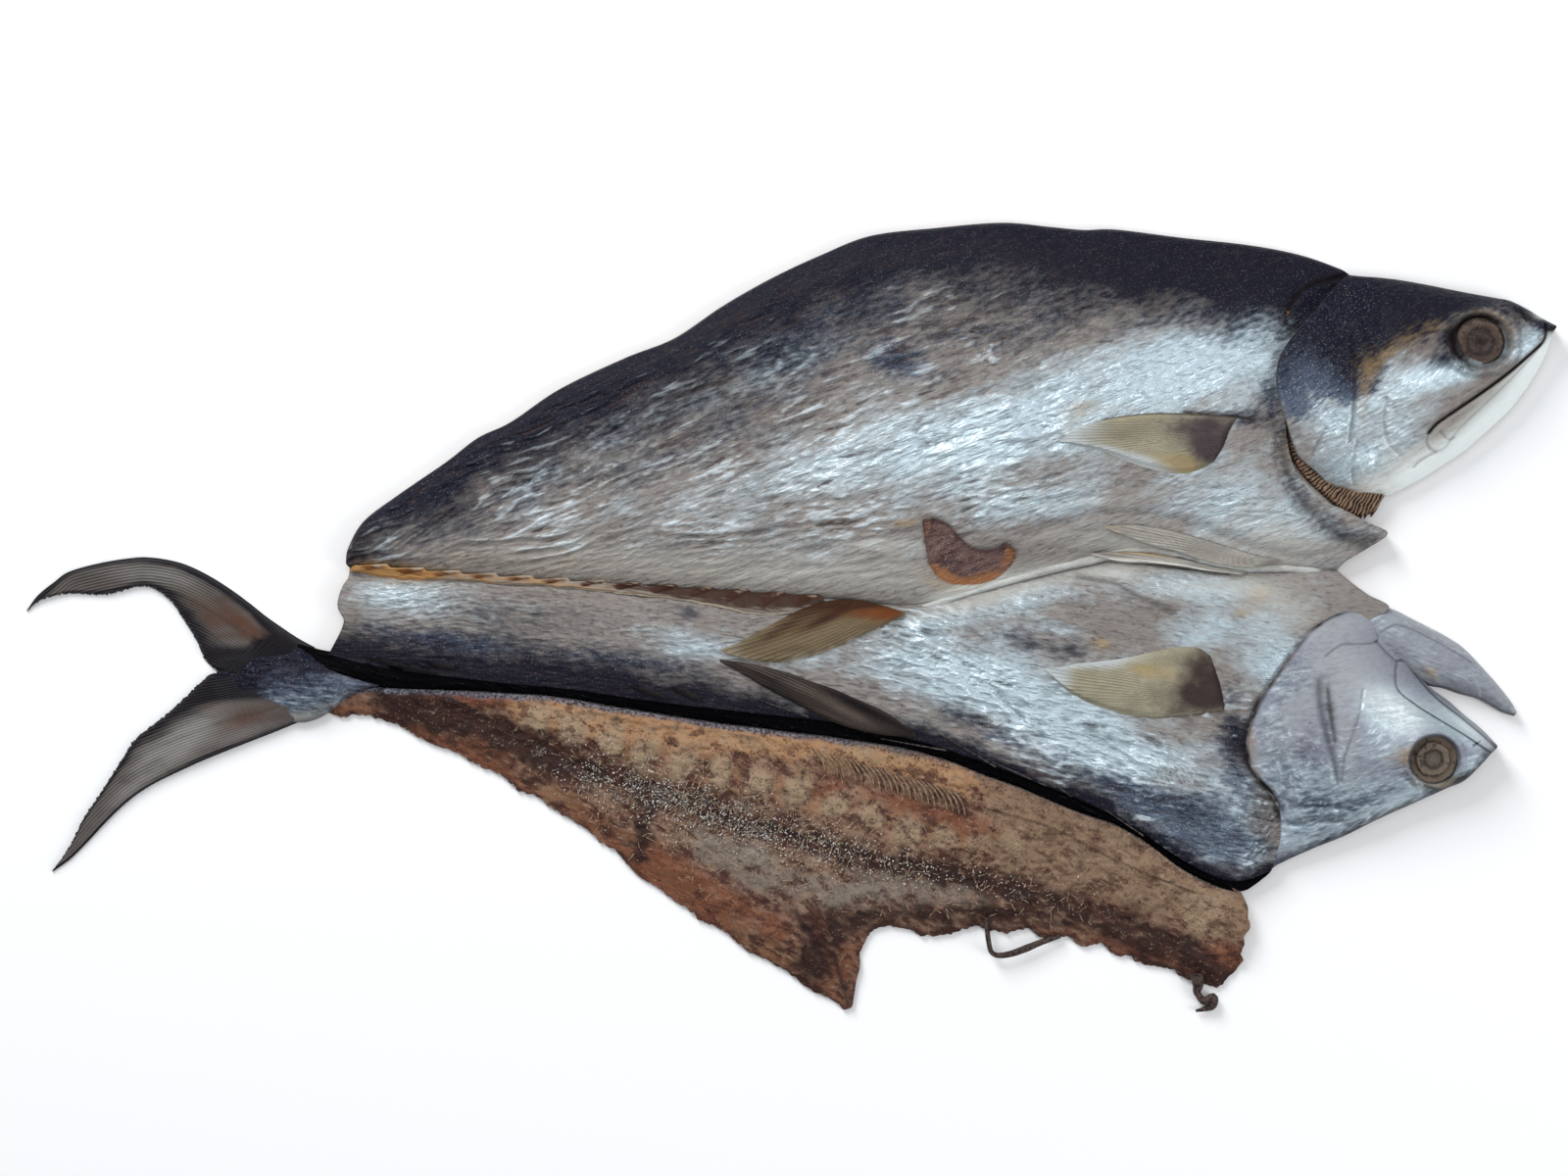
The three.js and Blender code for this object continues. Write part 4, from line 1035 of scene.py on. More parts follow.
def comb_finish():
    comb = Finish("gill_comb")
    patches = comb.grain(3.0, 4.0)
    # Near-black where blade is low: painted shade in the gaps between the filaments.
    colour = comb.blend(comb.step(comb.mask("blade") + (patches - 0.5) * 1.6, 0.25, 0.95),
                        (0.010, 0.005, 0.004), (0.23, 0.145, 0.09))
    colour = comb.blend(comb.step(comb.grain(0.6, 3.0), 0.60, 0.70) * 0.5, colour, (0.45, 0.33, 0.22))
    colour = comb.blend(comb.step(comb.mask("along") + (patches - 0.5) * 0.3, 0.34, 0.0) * 0.8, colour,
                        (0.020, 0.010, 0.007))
    return comb.wear(Base_Color=colour, Roughness=patches * 0.3 + 0.6,
                     Normal=comb.relief(comb.grain(0.6, 3.0), 0.3, 0.8))


def comb_place(u, v):
    x, y = leaf_between(COMB_TIPS, COMB_ROOT)(u, v)
    fringe = 1.5 * swell(u * 60, v * 0, 83) * smooth(0.5, 0, v) * smooth(0.6, 0.85, u)
    return x - 0.5 * fringe, y - fringe


grow("gill_comb", comb_place, (296, 14), comb_top, lambda x, y, u, v: x * 0 + 1.2, comb_masks,
     comb_finish(), ["gill_filaments"])



# ---------------------------------------------------------------------------------------------
# The paired fins: thin skin over bony rays that fan out from a dark root. They have dried flat
# onto the sides, so they follow the bumps below them.

class Bed:
    """A map of how high some pieces stand, with a value to each mm, to lay thinner parts on."""

    def __init__(self, pieces):
        high = np.zeros((520, 300))
        for piece in pieces:
            flat = np.empty(len(piece.data.vertices) * 3)
            piece.data.vertices.foreach_get("co", flat)
            x, y, z = flat.reshape(-1, 3).T / MM
            np.maximum.at(high, (np.round(x).astype(int) + 260, np.round(y).astype(int) + 150), z)
        for _ in range(2):
            high = np.max([np.roll(high, turn, axis) for axis in (0, 1) for turn in (-1, 0, 1)], axis=0)
        for _ in range(2):
            high = np.mean([np.roll(high, turn, axis) for axis in (0, 1) for turn in (-1, 0, 1)], axis=0)
        self.high = high

    def height(self, x, y):
        at_x, at_y = np.clip(x + 260, 0, 518), np.clip(y + 150, 0, 298)
        i, j = at_x.astype(int), at_y.astype(int)
        s, t = at_x - i, at_y - j
        return ((self.high[i, j] * (1 - s) + self.high[i + 1, j] * s) * (1 - t)
                + (self.high[i, j + 1] * (1 - s) + self.high[i + 1, j + 1] * s) * t)


skin_bed = Bed([right_skin, left_skin, right_head, left_head, back_ridge])


def rays(x, y, hub, per_degree):
    """1 on the bony rays that fan out to the left from the hub, 0 on the skin between them."""
    turn = np.degrees(np.arctan2(y - hub[1], hub[0] - x))
    reach = np.hypot(x - hub[0], y - hub[1])
    waver = 1.1 * swell(reach / 14, turn / 5, 91)
    first = 1 - np.abs(np.sin(np.pi * turn * per_degree + waver))
    fork = 1 - np.abs(np.sin(2 * np.pi * turn * per_degree + waver))
    faint = 0.55 + 0.45 * smooth(-0.5, 0.4, swell(reach / 11, turn / 3, 92))
    return np.clip((first ** 2 + 0.6 * fork ** 3 * smooth(14, 30, reach)) * faint, 0, 1)


def fin_finish(name, plain, warm, root, rim):
    """Fin skin: plain colour, warm patches, a dark root and a rim that pales to the skin below."""
    fin = Finish(name, Specular_IOR_Level=0.10)
    cloud = fin.grain(4.0, 4.0, 5, 3.0)
    fleck = fin.grain(0.45, 2.0)
    ray = fin.mask("ray")
    colour = fin.blend(fin.step(cloud, 0.3, 0.7), plain, [c * 0.72 for c in plain])
    # Darker between the raised rays: painted shade; lighter on the rays: paler bone with a painted highlight on it.
    colour = fin.blend(fin.step(ray, 0.30, 0.0) * 0.38, colour, [c * 0.25 for c in plain])
    colour = fin.blend(fin.step(ray + (fleck - 0.5) * 0.4, 0.55, 1.0) * 0.30, colour, [min(c * 1.9, 0.8) for c in plain])
    colour = fin.blend(fin.step(cloud + (fleck - 0.5) * 0.4, 0.40, 0.26) * 0.45, colour, [c * 0.3 for c in plain])
    ragged = (cloud - 0.5) * 0.5 + (ray - 0.3) * 0.16
    colour = fin.blend(fin.step(fin.mask("warm") + ragged, 0.15, 0.9), colour, warm)
    colour = fin.blend(fin.step(fin.mask("rim") + ragged, 0.15, 0.95), colour, rim)
    colour = fin.blend(fin.step(fin.mask("root") - ragged * 1.5, 0.05, 1.05) * 0.96, colour, root)
    strand = fin.step(ray + (fleck - 0.5) * 0.6 + (cloud - 0.5) * 1.6, 0.35, 1.0)
    colour = fin.blend(strand * 0.40 * fin.mask("root"), colour, [c * 4 for c in root])
    # line: painted shadow along the fin's edges.
    colour = fin.blend(fin.mask("line"), colour, (0.012, 0.008, 0.008))
    bump = fin.relief(fin.mask("ray"), 0.25, 0.6)
    bump = fin.relief(fleck, 0.10, 0.6, bump)
    return fin.wear(Base_Color=colour, Roughness=0.42 + (cloud - 0.5) * 0.25 + fleck * 0.15, Normal=bump)


def lay_fin(name, node, place, cells, hub, per_degree, masks, finish, bed=skin_bed, puff=0.7, rise=0.45):
    """A thin closed fin on the bed: puffed up a little in the middle, with its rays raised."""
    def top(x, y, u, v):
        edge = smooth(0, 0.12, v) * smooth(1, 0.9, v) * smooth(0, 0.06, u) * smooth(1, 0.96, u)
        return bed.height(x, y) - 0.1 + edge * (rise + puff + 0.32 * rays(x, y, hub, per_degree))

    def below(x, y, u, v):
        return np.maximum(bed.height(x, y) - 0.6, 0.2)

    def patches(x, y, u, v):
        blank = dict(warm=x * 0, root=x * 0, rim=x * 0, line=x * 0)
        return dict(blank, ray=rays(x, y, hub, per_degree)) | masks(x, y, u, v)

    return grow(name, place, cells, top, below, patches, finish, [node])


OLIVE, AMBER, ROOT_DARK = (0.43, 0.39, 0.28), (0.38, 0.30, 0.16), (0.060, 0.043, 0.050)
PEARL = (0.50, 0.53, 0.53)

RIGHT_PECTORAL_TOP = [(82, 53.4), (86, 56.6), (90, 58.2), (95, 59.7), (100, 60.7), (110, 61.8), (120, 61.7),
                      (130, 61.2), (136, 60.6)]
RIGHT_PECTORAL_LOW = [(82, 53.2), (90, 51.6), (95, 50.2), (100, 48.4), (105, 46.4), (110, 44.9), (115, 43.8),
                      (120, 43.5), (124, 44.4), (129, 47)]
lay_fin("right_pectoral", "right_pectoral_fin",
        leaf_between(RIGHT_PECTORAL_LOW, RIGHT_PECTORAL_TOP,
                     right=[(129, 47), (131.6, 51), (133.4, 55.6), (136, 60.6)]), (110, 130),
        (147, 57), 1.05,
        lambda x, y, u, v: dict(
            root=spots(x, y, [((129, 56), (14, 7.5), -12, 0.95), ((131, 50), (9, 6), 0, 0.75)]) + 0.3 * rough(x, y, 6, 3, 96),
            warm=spots(x, y, [((113, 47), (11, 3), 0, 0.8), ((121, 46), (5, 3), 0, 0.7), ((104, 60), (12, 1.5), 5, 0.4)]),
            rim=np.maximum(smooth(0.42, 0.0, v) * smooth(124, 106, x), smooth(0.45, 0.02, u)),
            line=np.maximum(smooth(0.95, 1.0, v) * smooth(88, 96, x) * 0.8,
                            smooth(0.97, 1, u) * 0.5)),
        fin_finish("right_pectoral", OLIVE, AMBER, ROOT_DARK, PEARL))

LEFT_PECTORAL_TOP = [(78, -15.8), (84, -15), (88, -14.2), (95, -13.6), (103, -12.4), (110, -10.8), (118, -9.4),
                     (124, -9.4), (128, -11.8)]
LEFT_PECTORAL_LOW = [(78, -16.4), (84, -22), (90, -25.6), (97, -28.2), (104, -30.1), (110, -30.8), (115, -30.7),
                     (125, -29.8), (132.4, -28.6)]
lay_fin("left_pectoral", "left_pectoral_fin",
        leaf_between(LEFT_PECTORAL_LOW, LEFT_PECTORAL_TOP,
                     right=[(132.4, -28.6), (131.4, -22), (129.6, -16), (128, -11.8)]), (120, 130),
        (150, -27), 1.1,
        lambda x, y, u, v: dict(
            root=(spots(x, y, [((127, -16), (9, 9), 20, 0.95), ((126, -25), (15, 5.5), 4, 0.85)])
                  + 0.3 * rough(x, y, 6, 3, 97)),
            warm=spots(x, y, [((107, -16), (5, 2.4), -20, 0.8), ((116, -17), (6, 4), -20, 0.5)]),
            rim=np.maximum(smooth(0.30, 0.01, u), smooth(0.65, 1.0, v) * smooth(120, 92, x)),
            line=np.maximum(smooth(0.035, 0.0, v) * smooth(100, 112, x) * 0.7, smooth(0.975, 1, u) * 0.6)),
        fin_finish("left_pectoral", OLIVE, AMBER, (0.035, 0.020, 0.022), PEARL))


# ---------------------------------------------------------------------------------------------
# The pelvic fins, small and pale, folded back into their groove in the middle of the belly.

pelvic_finish = fin_finish("pelvic_fins", (0.46, 0.43, 0.385), (0.42, 0.30, 0.18), (0.24, 0.205, 0.18),
                           (0.66, 0.64, 0.58))
lay_fin("right_pelvic", "right_pelvic_fin",
        leaf_between([(96, 26.9), (102, 24.6), (110, 21.7), (118, 19.7), (125, 17.2), (132, 15.6), (142, 14.6)],
                     [(96, 27.5), (105, 28), (115, 26.6), (125, 24), (133, 21.6), (143, 18.6), (150, 17.4)]),
        (110, 34), (166, 14), 1.1,
        lambda x, y, u, v: dict(warm=0.5 * smooth(0.35, 0.0, u) + 0.3 * smooth(0.5, 0.3, v) * smooth(0.4, 0.6, u),
                                rim=smooth(0.22, 0.03, v), root=0.4 * smooth(0.45, 0.6, v) * smooth(0.8, 0.6, v),
                                line=0.6 * smooth(0.93, 1, v) + 0.85 * smooth(0.035, 0.0, v)),
        pelvic_finish, puff=1.0)
lay_fin("left_pelvic", "left_pelvic_fin",
        leaf_between([(92, 19), (100, 16.8), (110, 16.2), (118, 15.4), (128, 13.8), (138, 12.8)],
                     [(92, 19.4), (102, 19.9), (112, 19.2), (120, 17.6), (130, 15.1), (140, 13.6)]),
        (100, 24), (160, 11), 1.1,
        lambda x, y, u, v: dict(warm=0.9 * smooth(0.5, 0.9, v) * spot(x, y, (108, 18), (12, 4)),
                                rim=smooth(0.5, 0.1, v), line=0.75 * smooth(0.88, 0.99, v)),
        pelvic_finish, puff=0.6)


# ---------------------------------------------------------------------------------------------
# The anal fin, clear brown and folded down over the left side from the middle of the belly, and
# behind it the row of finlets along the belly line, each a little flap that points to the tail.

lay_fin("anal_fin", "anal_fin",
        leaf_between([(-20.7, -10.6), (-15, -12.6), (-8, -13.9), (0, -13.6), (10, -11.1), (15, -9.1), (20, -6.8),
                      (25, -4.5), (30, -2), (35.4, 0.6)],
                     [(-20.7, -10.0), (-16, -8.2), (-12, -6.2), (-7, -3.4), (-2, -0.6), (4, 2.4), (10, 4.4),
                      (16, 5.2), (22, 4.9), (28, 3.6), (35.4, 1.2)]), (130, 100),
        (60, 14), 0.95,
        lambda x, y, u, v: dict(
            warm=spots(x, y, [((22, 1.6), (13, 3.6), -12, 0.6), ((5, -3), (12, 3), 20, 0.4), ((30, 2), (6, 3), 0, 0.7)]),
            root=spots(x, y, [((10, 3.6), (20, 4.2), 8, 1.0), ((10, -1.4), (9, 1.4), 25, 0.7), ((-4, -5), (9, 2), 28, 0.6),
                              ((20, 4.6), (9, 1.6), -8, 0.9), ((0, -10), (8, 1.2), 12, 0.4)]),
            rim=0.8 * smooth(0.22, 0.0, v) * (0.6 + 0.5 * rough(x, y, 5, 3, 94)) + 0.5 * smooth(0.25, 0.0, u),
            line=smooth(0.975, 1.0, v) * 0.5 * smooth(-10, 5, x)),
        fin_finish("anal_fin", (0.22, 0.165, 0.095), (0.17, 0.055, 0.018), (0.040, 0.015, 0.008),
                   (0.42, 0.37, 0.29)))

FINLETS = 13
FINLET_HIGH = [(-134, 15.9), (-125, 15.4), (-115, 14.4), (-105, 13.6), (-90, 12.5), (-70, 11.2), (-60, 10.6),
               (-50, 10), (-40, 9.4), (-30, 8.8), (-20, 8.2), (-10, 7.4), (0, 6.8), (9, 5.9)]
FINLET_LOW = [(-134, 14.2), (-125, 12.2), (-115, 11.2), (-105, 11.2), (-90, 10.2), (-70, 8.9), (-60, 8),
              (-50, 6.9), (-40, 5.8), (-30, 4.5), (-20, 2.6), (-10, 0.6), (0, 1.0), (9, 3.6)]


def finlet_share(u, v):
    """How far along its own finlet a point is, from its left end to its right end."""
    return np.modf(u * FINLETS + 0.8 * (1 - v))[0]


def finlet_place(u, v):
    x, y = leaf_between(FINLET_LOW, FINLET_HIGH)(u, v)
    share = finlet_share(u, v)
    saw = smooth(0.0, 0.9, share) * smooth(1.0, 0.9, share)
    return x + 1.6 * v, y + (0.9 * saw - 0.25) * smooth(0.4, 1.0, v) + 0.5 * rough(x, y, 4, 2, 93) * smooth(0.5, 0, v)


def finlet_top(x, y, u, v):
    share = finlet_share(u, v)
    flap = smooth(0.0, 0.8, share) * smooth(1.0, 0.86, share)
    sunk = smooth(0, 0.25, v) * smooth(1, 0.86, v) * smooth(0, 0.02, u) * smooth(1, 0.94, u)
    return skin_bed.height(x, y) - 0.5 + sunk * (0.7 + 0.8 * flap * v) + 0.3 * rough(x, y, 3, 3, 92)


def finlet_masks(x, y, u, v):
    share = finlet_share(u, v)
    headward = smooth(-82, -22, x)
    growing = smooth(0.1, 0.85, share) * smooth(1.0, 0.9, share)
    # wedge: painted shadow under each finlet's flap, growing towards its attached end; part of it is also laid into the
    # dark mask.
    wedge = growing * smooth(0.95 - 0.75 * share, 1.0 - 0.55 * share, v) * smooth(1.0, 0.86, v)
    strands = 1 - np.abs(swell((x + 2.5 * y) / 11, (y + 0.16 * x) / 0.9, 95))
    tail_end = smooth(-104, -114, x) * smooth(-139, -131, x)
    return dict(wedge=np.clip(wedge * (0.7 + 0.5 * headward) + 0.5 * tail_end * spot(x, y, (-112, 13), (6, 2)), 0, 1),
                dark=np.clip(headward * (0.35 + 0.75 * smooth(0.0, 0.5, v)) + 0.6 * wedge * smooth(-125, -50, x), 0, 1),
                amber=np.clip(0.45 + 0.75 * tail_end - 0.3 * headward, 0, 1), strands=strands,
                cream=np.clip(0.9 * smooth(0.98 - 0.42 * share, 1.06 - 0.30 * share, v) * growing * (1 - 0.35 * headward)
                              + 0.8 * smooth(0.3, 0.0, v) * smooth(-105, -85, x), 0, 1))


def finlet_finish():
    row = Finish("belly_finlets", Specular_IOR_Level=0.12)
    streaks = row.grain(1.2, 4.0, -12, 5.0)
    wild = (streaks - 0.5) * 0.8 + (row.mask("strands") - 0.6) * 0.5
    colour = row.blend(row.step(row.mask("amber") + wild, 0.2, 0.9), (0.27, 0.235, 0.20), (0.42, 0.225, 0.085))
    # Painted shadow under the finlet flaps.
    colour = row.blend(row.step(row.mask("wedge") + wild * 1.3, 0.1, 1.0), colour, (0.155, 0.055, 0.020))
    colour = row.blend(row.step(row.mask("dark") + wild, 0.3, 0.95) * 0.95, colour, (0.040, 0.016, 0.010))
    colour = row.blend(row.step(row.mask("cream") + wild, 0.55, 1.1) * 0.85, colour, (0.50, 0.42, 0.31))
    bump = row.relief(streaks, 0.3, 0.7)
    return row.wear(Base_Color=colour, Roughness=streaks * 0.3 + 0.4, Normal=bump)


grow("belly_finlets", finlet_place, (520, 24), finlet_top,
     lambda x, y, u, v: np.maximum(skin_bed.height(x, y) - 1.4, 0.2), finlet_masks, finlet_finish(),
     ["anal_finlets"])


# ---------------------------------------------------------------------------------------------
# The second dorsal fin, almost black, laid flat over the ridge, and the few feathery finlets and
# loose spines left on the ridge in front of it and behind it.

black_fin_finish = fin_finish("black_fin", (0.056, 0.043, 0.038), (0.150, 0.116, 0.098), (0.010, 0.008, 0.009),
                              (0.15, 0.135, 0.13))
lay_fin("second_dorsal", "dorsal_fin",
        leaf_between([(-21, -13.7), (-14, -17.6), (-8, -21.2), (0, -25.6), (8, -29.6), (16, -33), (24, -35.2),
                      (31, -36.3), (38.6, -36.6)],
                     [(-21, -13.0), (-12, -14.2), (-6, -15.5), (0, -17.2), (6, -19.4), (13, -21.8), (20, -24.8),
                      (30, -29.4), (38.6, -35.6)]), (130, 90),
        (62, -46), 1.35,
        lambda x, y, u, v: dict(
            warm=spots(x, y, [((4, -21.5), (16, 2), -26, 0.9), ((20, -30.4), (10, 1.6), -26, 0.8),
                              ((-12, -15), (8, 1.4), -22, 0.7), ((12, -30), (14, 1.2), -22, 0.6)])
            * (0.4 + 0.9 * rays(x, y, (62, -46), 1.35)),
            root=spots(x, y, [((22, -27.4), (14, 1.5), -28, 1.0), ((0, -24.6), (16, 1.2), -28, 0.6),
                              ((-8, -18), (8, 0.8), -28, 0.5)]),
            rim=0.35 * smooth(0.09, 0.0, v) * smooth(0.8, 0.3, u)),
        black_fin_finish, puff=0.5)

BACK_FINLETS = [[(-130, -12.2), (-121, -13.6), (-113, -15.8), (-116, -16), (-123, -14.4)],
                [(-122, -14.8), (-115, -15.2), (-107, -17), (-110, -17.2), (-116, -16.2)],
                [(-111, -13.8), (-107, -14.2), (-101, -15.8), (-104, -16.2), (-108, -15.2)],
                [(-49, -21.2), (-43, -21.8), (-36, -25), (-39, -25.1), (-45, -22.9)],
                [(-36, -21.2), (-32, -22), (-26, -25.2), (-29, -25.4), (-34, -23)]]
for number, (tail_tip, high, root_high, root_low, low) in enumerate(BACK_FINLETS, 1):
    lay_fin("back_finlet_%d" % number, "dorsal_finlets",
            leaf_between([tail_tip, low, root_low], [tail_tip, high, root_high]), (40, 16),
            (root_high[0] + 8, root_high[1] - 3), 1.6,
            lambda x, y, u, v: dict(root=1.0 - 0.45 * smooth(0.4, 0.9, v)),
            black_fin_finish, puff=0.3, rise=0.2)


def thread(name, paths, radii, finish, node):
    """Bones or strips of skin: tapering tubes along the paths of (x, y, z) points in mm."""
    maker = bmesh.new()
    for path in paths:
        steps = 6 * len(path)
        line = line_through(path, steps + 1)
        reach = np.interp(np.linspace(0, 1, steps + 1), np.linspace(0, 1, len(radii)), radii)
        rings, hoops = [], []
        for middle, ahead, radius in zip(line, np.gradient(line, axis=0), reach):
            turn = Vector(ahead).to_track_quat("Z", "X").to_matrix().to_4x4()
            turn.translation = Vector(middle) * MM
            ring = bmesh.ops.create_circle(maker, segments=8, radius=radius * MM, matrix=turn)["verts"]
            rings.append(ring)
            hoops.append(list({edge for v in ring for edge in v.link_edges}))
        for a, b in zip(hoops, hoops[1:]):
            bmesh.ops.bridge_loops(maker, edges=a + b)
        for end in (rings[0], rings[-1]):
            bmesh.ops.contextual_create(maker, geom=end)
    bmesh.ops.recalc_face_normals(maker, faces=maker.faces)
    mesh = bpy.data.meshes.new(name)
    maker.to_mesh(mesh)
    maker.free()
    mesh.polygons.foreach_set("use_smooth", [True] * len(mesh.polygons))
    mesh.materials.append(finish)
    return settle(name, mesh, node)


def spine_finish(name, low, high):
    bone = Finish(name, Specular_IOR_Level=0.2)
    streaks = bone.grain(1.0, 4.0)
    colour = bone.blend(bone.step(streaks, 0.35, 0.65), low, high)
    return bone.wear(Base_Color=colour, Roughness=streaks * 0.4 + 0.3, Normal=bone.relief(streaks, 0.2, 0.7))


SPINES = [((45, -35.2), (63, -45.8)), ((80, -50.6), (86, -54.8)), ((28, -37.2), (48, -40.8)),
          ((-12, -24.4), (6, -30.6)), ((96, -58.6), (108, -66.8)), ((60, -43.4), (74, -49.6))]
thread("back_spines", [[(x, y, float(skin_bed.height(np.array([x]), np.array([y]))[0]) + 0.2)
                        for x, y in np.linspace(tip, root, 5)] for tip, root in SPINES],
       [0.10, 0.22, 0.3], spine_finish("dark_spine", (0.014, 0.012, 0.012), (0.095, 0.080, 0.075)),
       ["dorsal_finlets"])


# ---------------------------------------------------------------------------------------------
# The leaf with the backbone: cut flesh of the back, folded out below the ridge. The vertebrae
# show as a row of pale lumps over a dark line of dried blood, and its lower edge is torn.

LEAF_HIGH = [(-140, -27.4), (-137, -25), (-132, -22.6), (-125, -21.9)] + [(x, y - 0.3) for x, y in RIDGE_LOW[3:-2]] + [
    (135, -82.6)]
LEAF_LOW = [(-141, -29.4), (-137, -30.8), (-133, -30), (-128, -30.5), (-123, -32), (-118, -34), (-113, -37),
            (-108, -39.5), (-103, -41), (-95, -45.5), (-90, -47.5), (-86, -50), (-83, -53), (-81, -54),
            (-78, -54.5), (-75, -56.5), (-72, -59), (-65, -63), (-60, -66.5), (-57, -69.5), (-53, -71.5),
            (-50, -75), (-48, -77.5), (-45, -80), (-40, -83), (-35, -87), (-30, -90), (-27, -93), (-22, -95),
            (-17, -98.5), (-14, -101.5), (-10, -103.5), (-5, -106), (0, -109), (5, -113), (8, -115),
            (12, -116.5), (15, -118.5), (17.8, -120.2), (19.6, -118.8), (19, -116), (18.7, -112), (19.5, -108),
            (21, -104), (23, -100), (24.5, -97), (27, -95.3), (30, -94.8), (37, -95.8), (40, -97.3),
            (45, -97.7), (52, -96.3), (57, -94.6), (60, -95.5), (67, -96.7), (73, -95.3), (76, -97.5),
            (79, -98.5), (86, -98), (88, -100), (90.5, -101.2), (93, -100.3), (96, -100.3), (98, -102),
            (101, -104), (104, -103.8), (108, -106.3), (113, -107), (117, -108), (120, -110), (124.5, -111.6),
            (129, -113), (132, -113), (134.5, -110), (136.5, -108)]
LEAF_FRONT = [(136.5, -108), (137.8, -105.4), (138.9, -105), (137.6, -102), (139, -100), (138.5, -96),
              (140, -92.5), (138.7, -90), (138, -87), (136.5, -84.5), (135, -82.6)]
VERTEBRAE = [(-78, -32.5), (-66, -35.6), (-55, -38.8), (-44, -42.2), (-32.5, -45.6), (-21, -48.4), (-9.5, -50.6),
             (2.5, -53.6), (14, -57.4), (25, -61.4), (36.4, -64.6), (47.6, -66.6), (58, -67.6), (68, -68.4)]
BLOOD_LINE = [(-122, -26), (-100, -31), (-75, -42), (-45, -53), (-20, -61), (0, -67), (15, -71.5), (30, -75),
              (55, -80), (80, -85.4), (100, -91), (125, -102)]
leaf_edge, leaf_seam = line_through(LEAF_LOW, 220), line_through(LEAF_HIGH, 90)
blood_line = line_through(BLOOD_LINE, 80)


def column(x, y):
    """1 on each vertebra's body, 0 in the gaps between them and away from the backbone."""
    bent_x, bent_y = x + 1.2 * swell(x / 7, y / 7, 108), y + 1.2 * swell(x / 6, y / 6, 109)
    return np.clip(sum(np.exp(-(((bent_x - cx) * 0.97 - (bent_y - cy) * 0.24) / 4.4) ** 4
                              - (((bent_y - cy) * 0.97 + (bent_x - cx) * 0.24) / 5.2) ** 2)
                       for cx, cy in VERTEBRAE), 0, 1)


def leaf_top(x, y, u, v):
    seam, torn, blood = [away_from(line, x, y) for line in (leaf_seam, leaf_edge, blood_line)]
    z = 1.3 + 3.6 * smooth(0, 9, torn) + 1.2 * smooth(0, 26, torn) - 0.9 * smooth(3.5, 0, seam)
    z += 1.3 * column(x, y)
    thick = smooth(1, 9, torn)
    z -= 1.1 * np.exp(-(blood / 5.0) ** 2) * thick
    z += thick * (0.95 * rough(x, y, 15, 3, 101) + 0.8 * rough(x, y, 4.5, 4, 102)) + 0.25 * rough(x, y, 1.6, 2, 103)
    z -= 0.5 * thick * smooth(0.80, 0.97, 1 - np.abs(rough(x, y, 9, 3, 99)))
    z += 1.5 * groove([(6, -86), (11, -95), (15, -106), (18, -118)], 1.3, x, y)
    z -= 1.2 * groove([(1, -88), (7, -98), (12, -108), (15.6, -117)], 1.8, x, y)
    z += 0.5 * groove([(60, -58), (80, -64), (100, -74), (124, -84)], 0.8, x, y) * smooth(50, 70, x)
    z += 0.7 * groove([(-95, -25), (-60, -29), (-25, -34), (15, -39.6)], 1.2, x, y)
    return np.maximum(z, 0.9)


def leaf_under(x, y, u, v):
    return np.clip(0.15 + 0.4 * rough(x, y, 8, 3, 104), 0.0, 0.7)


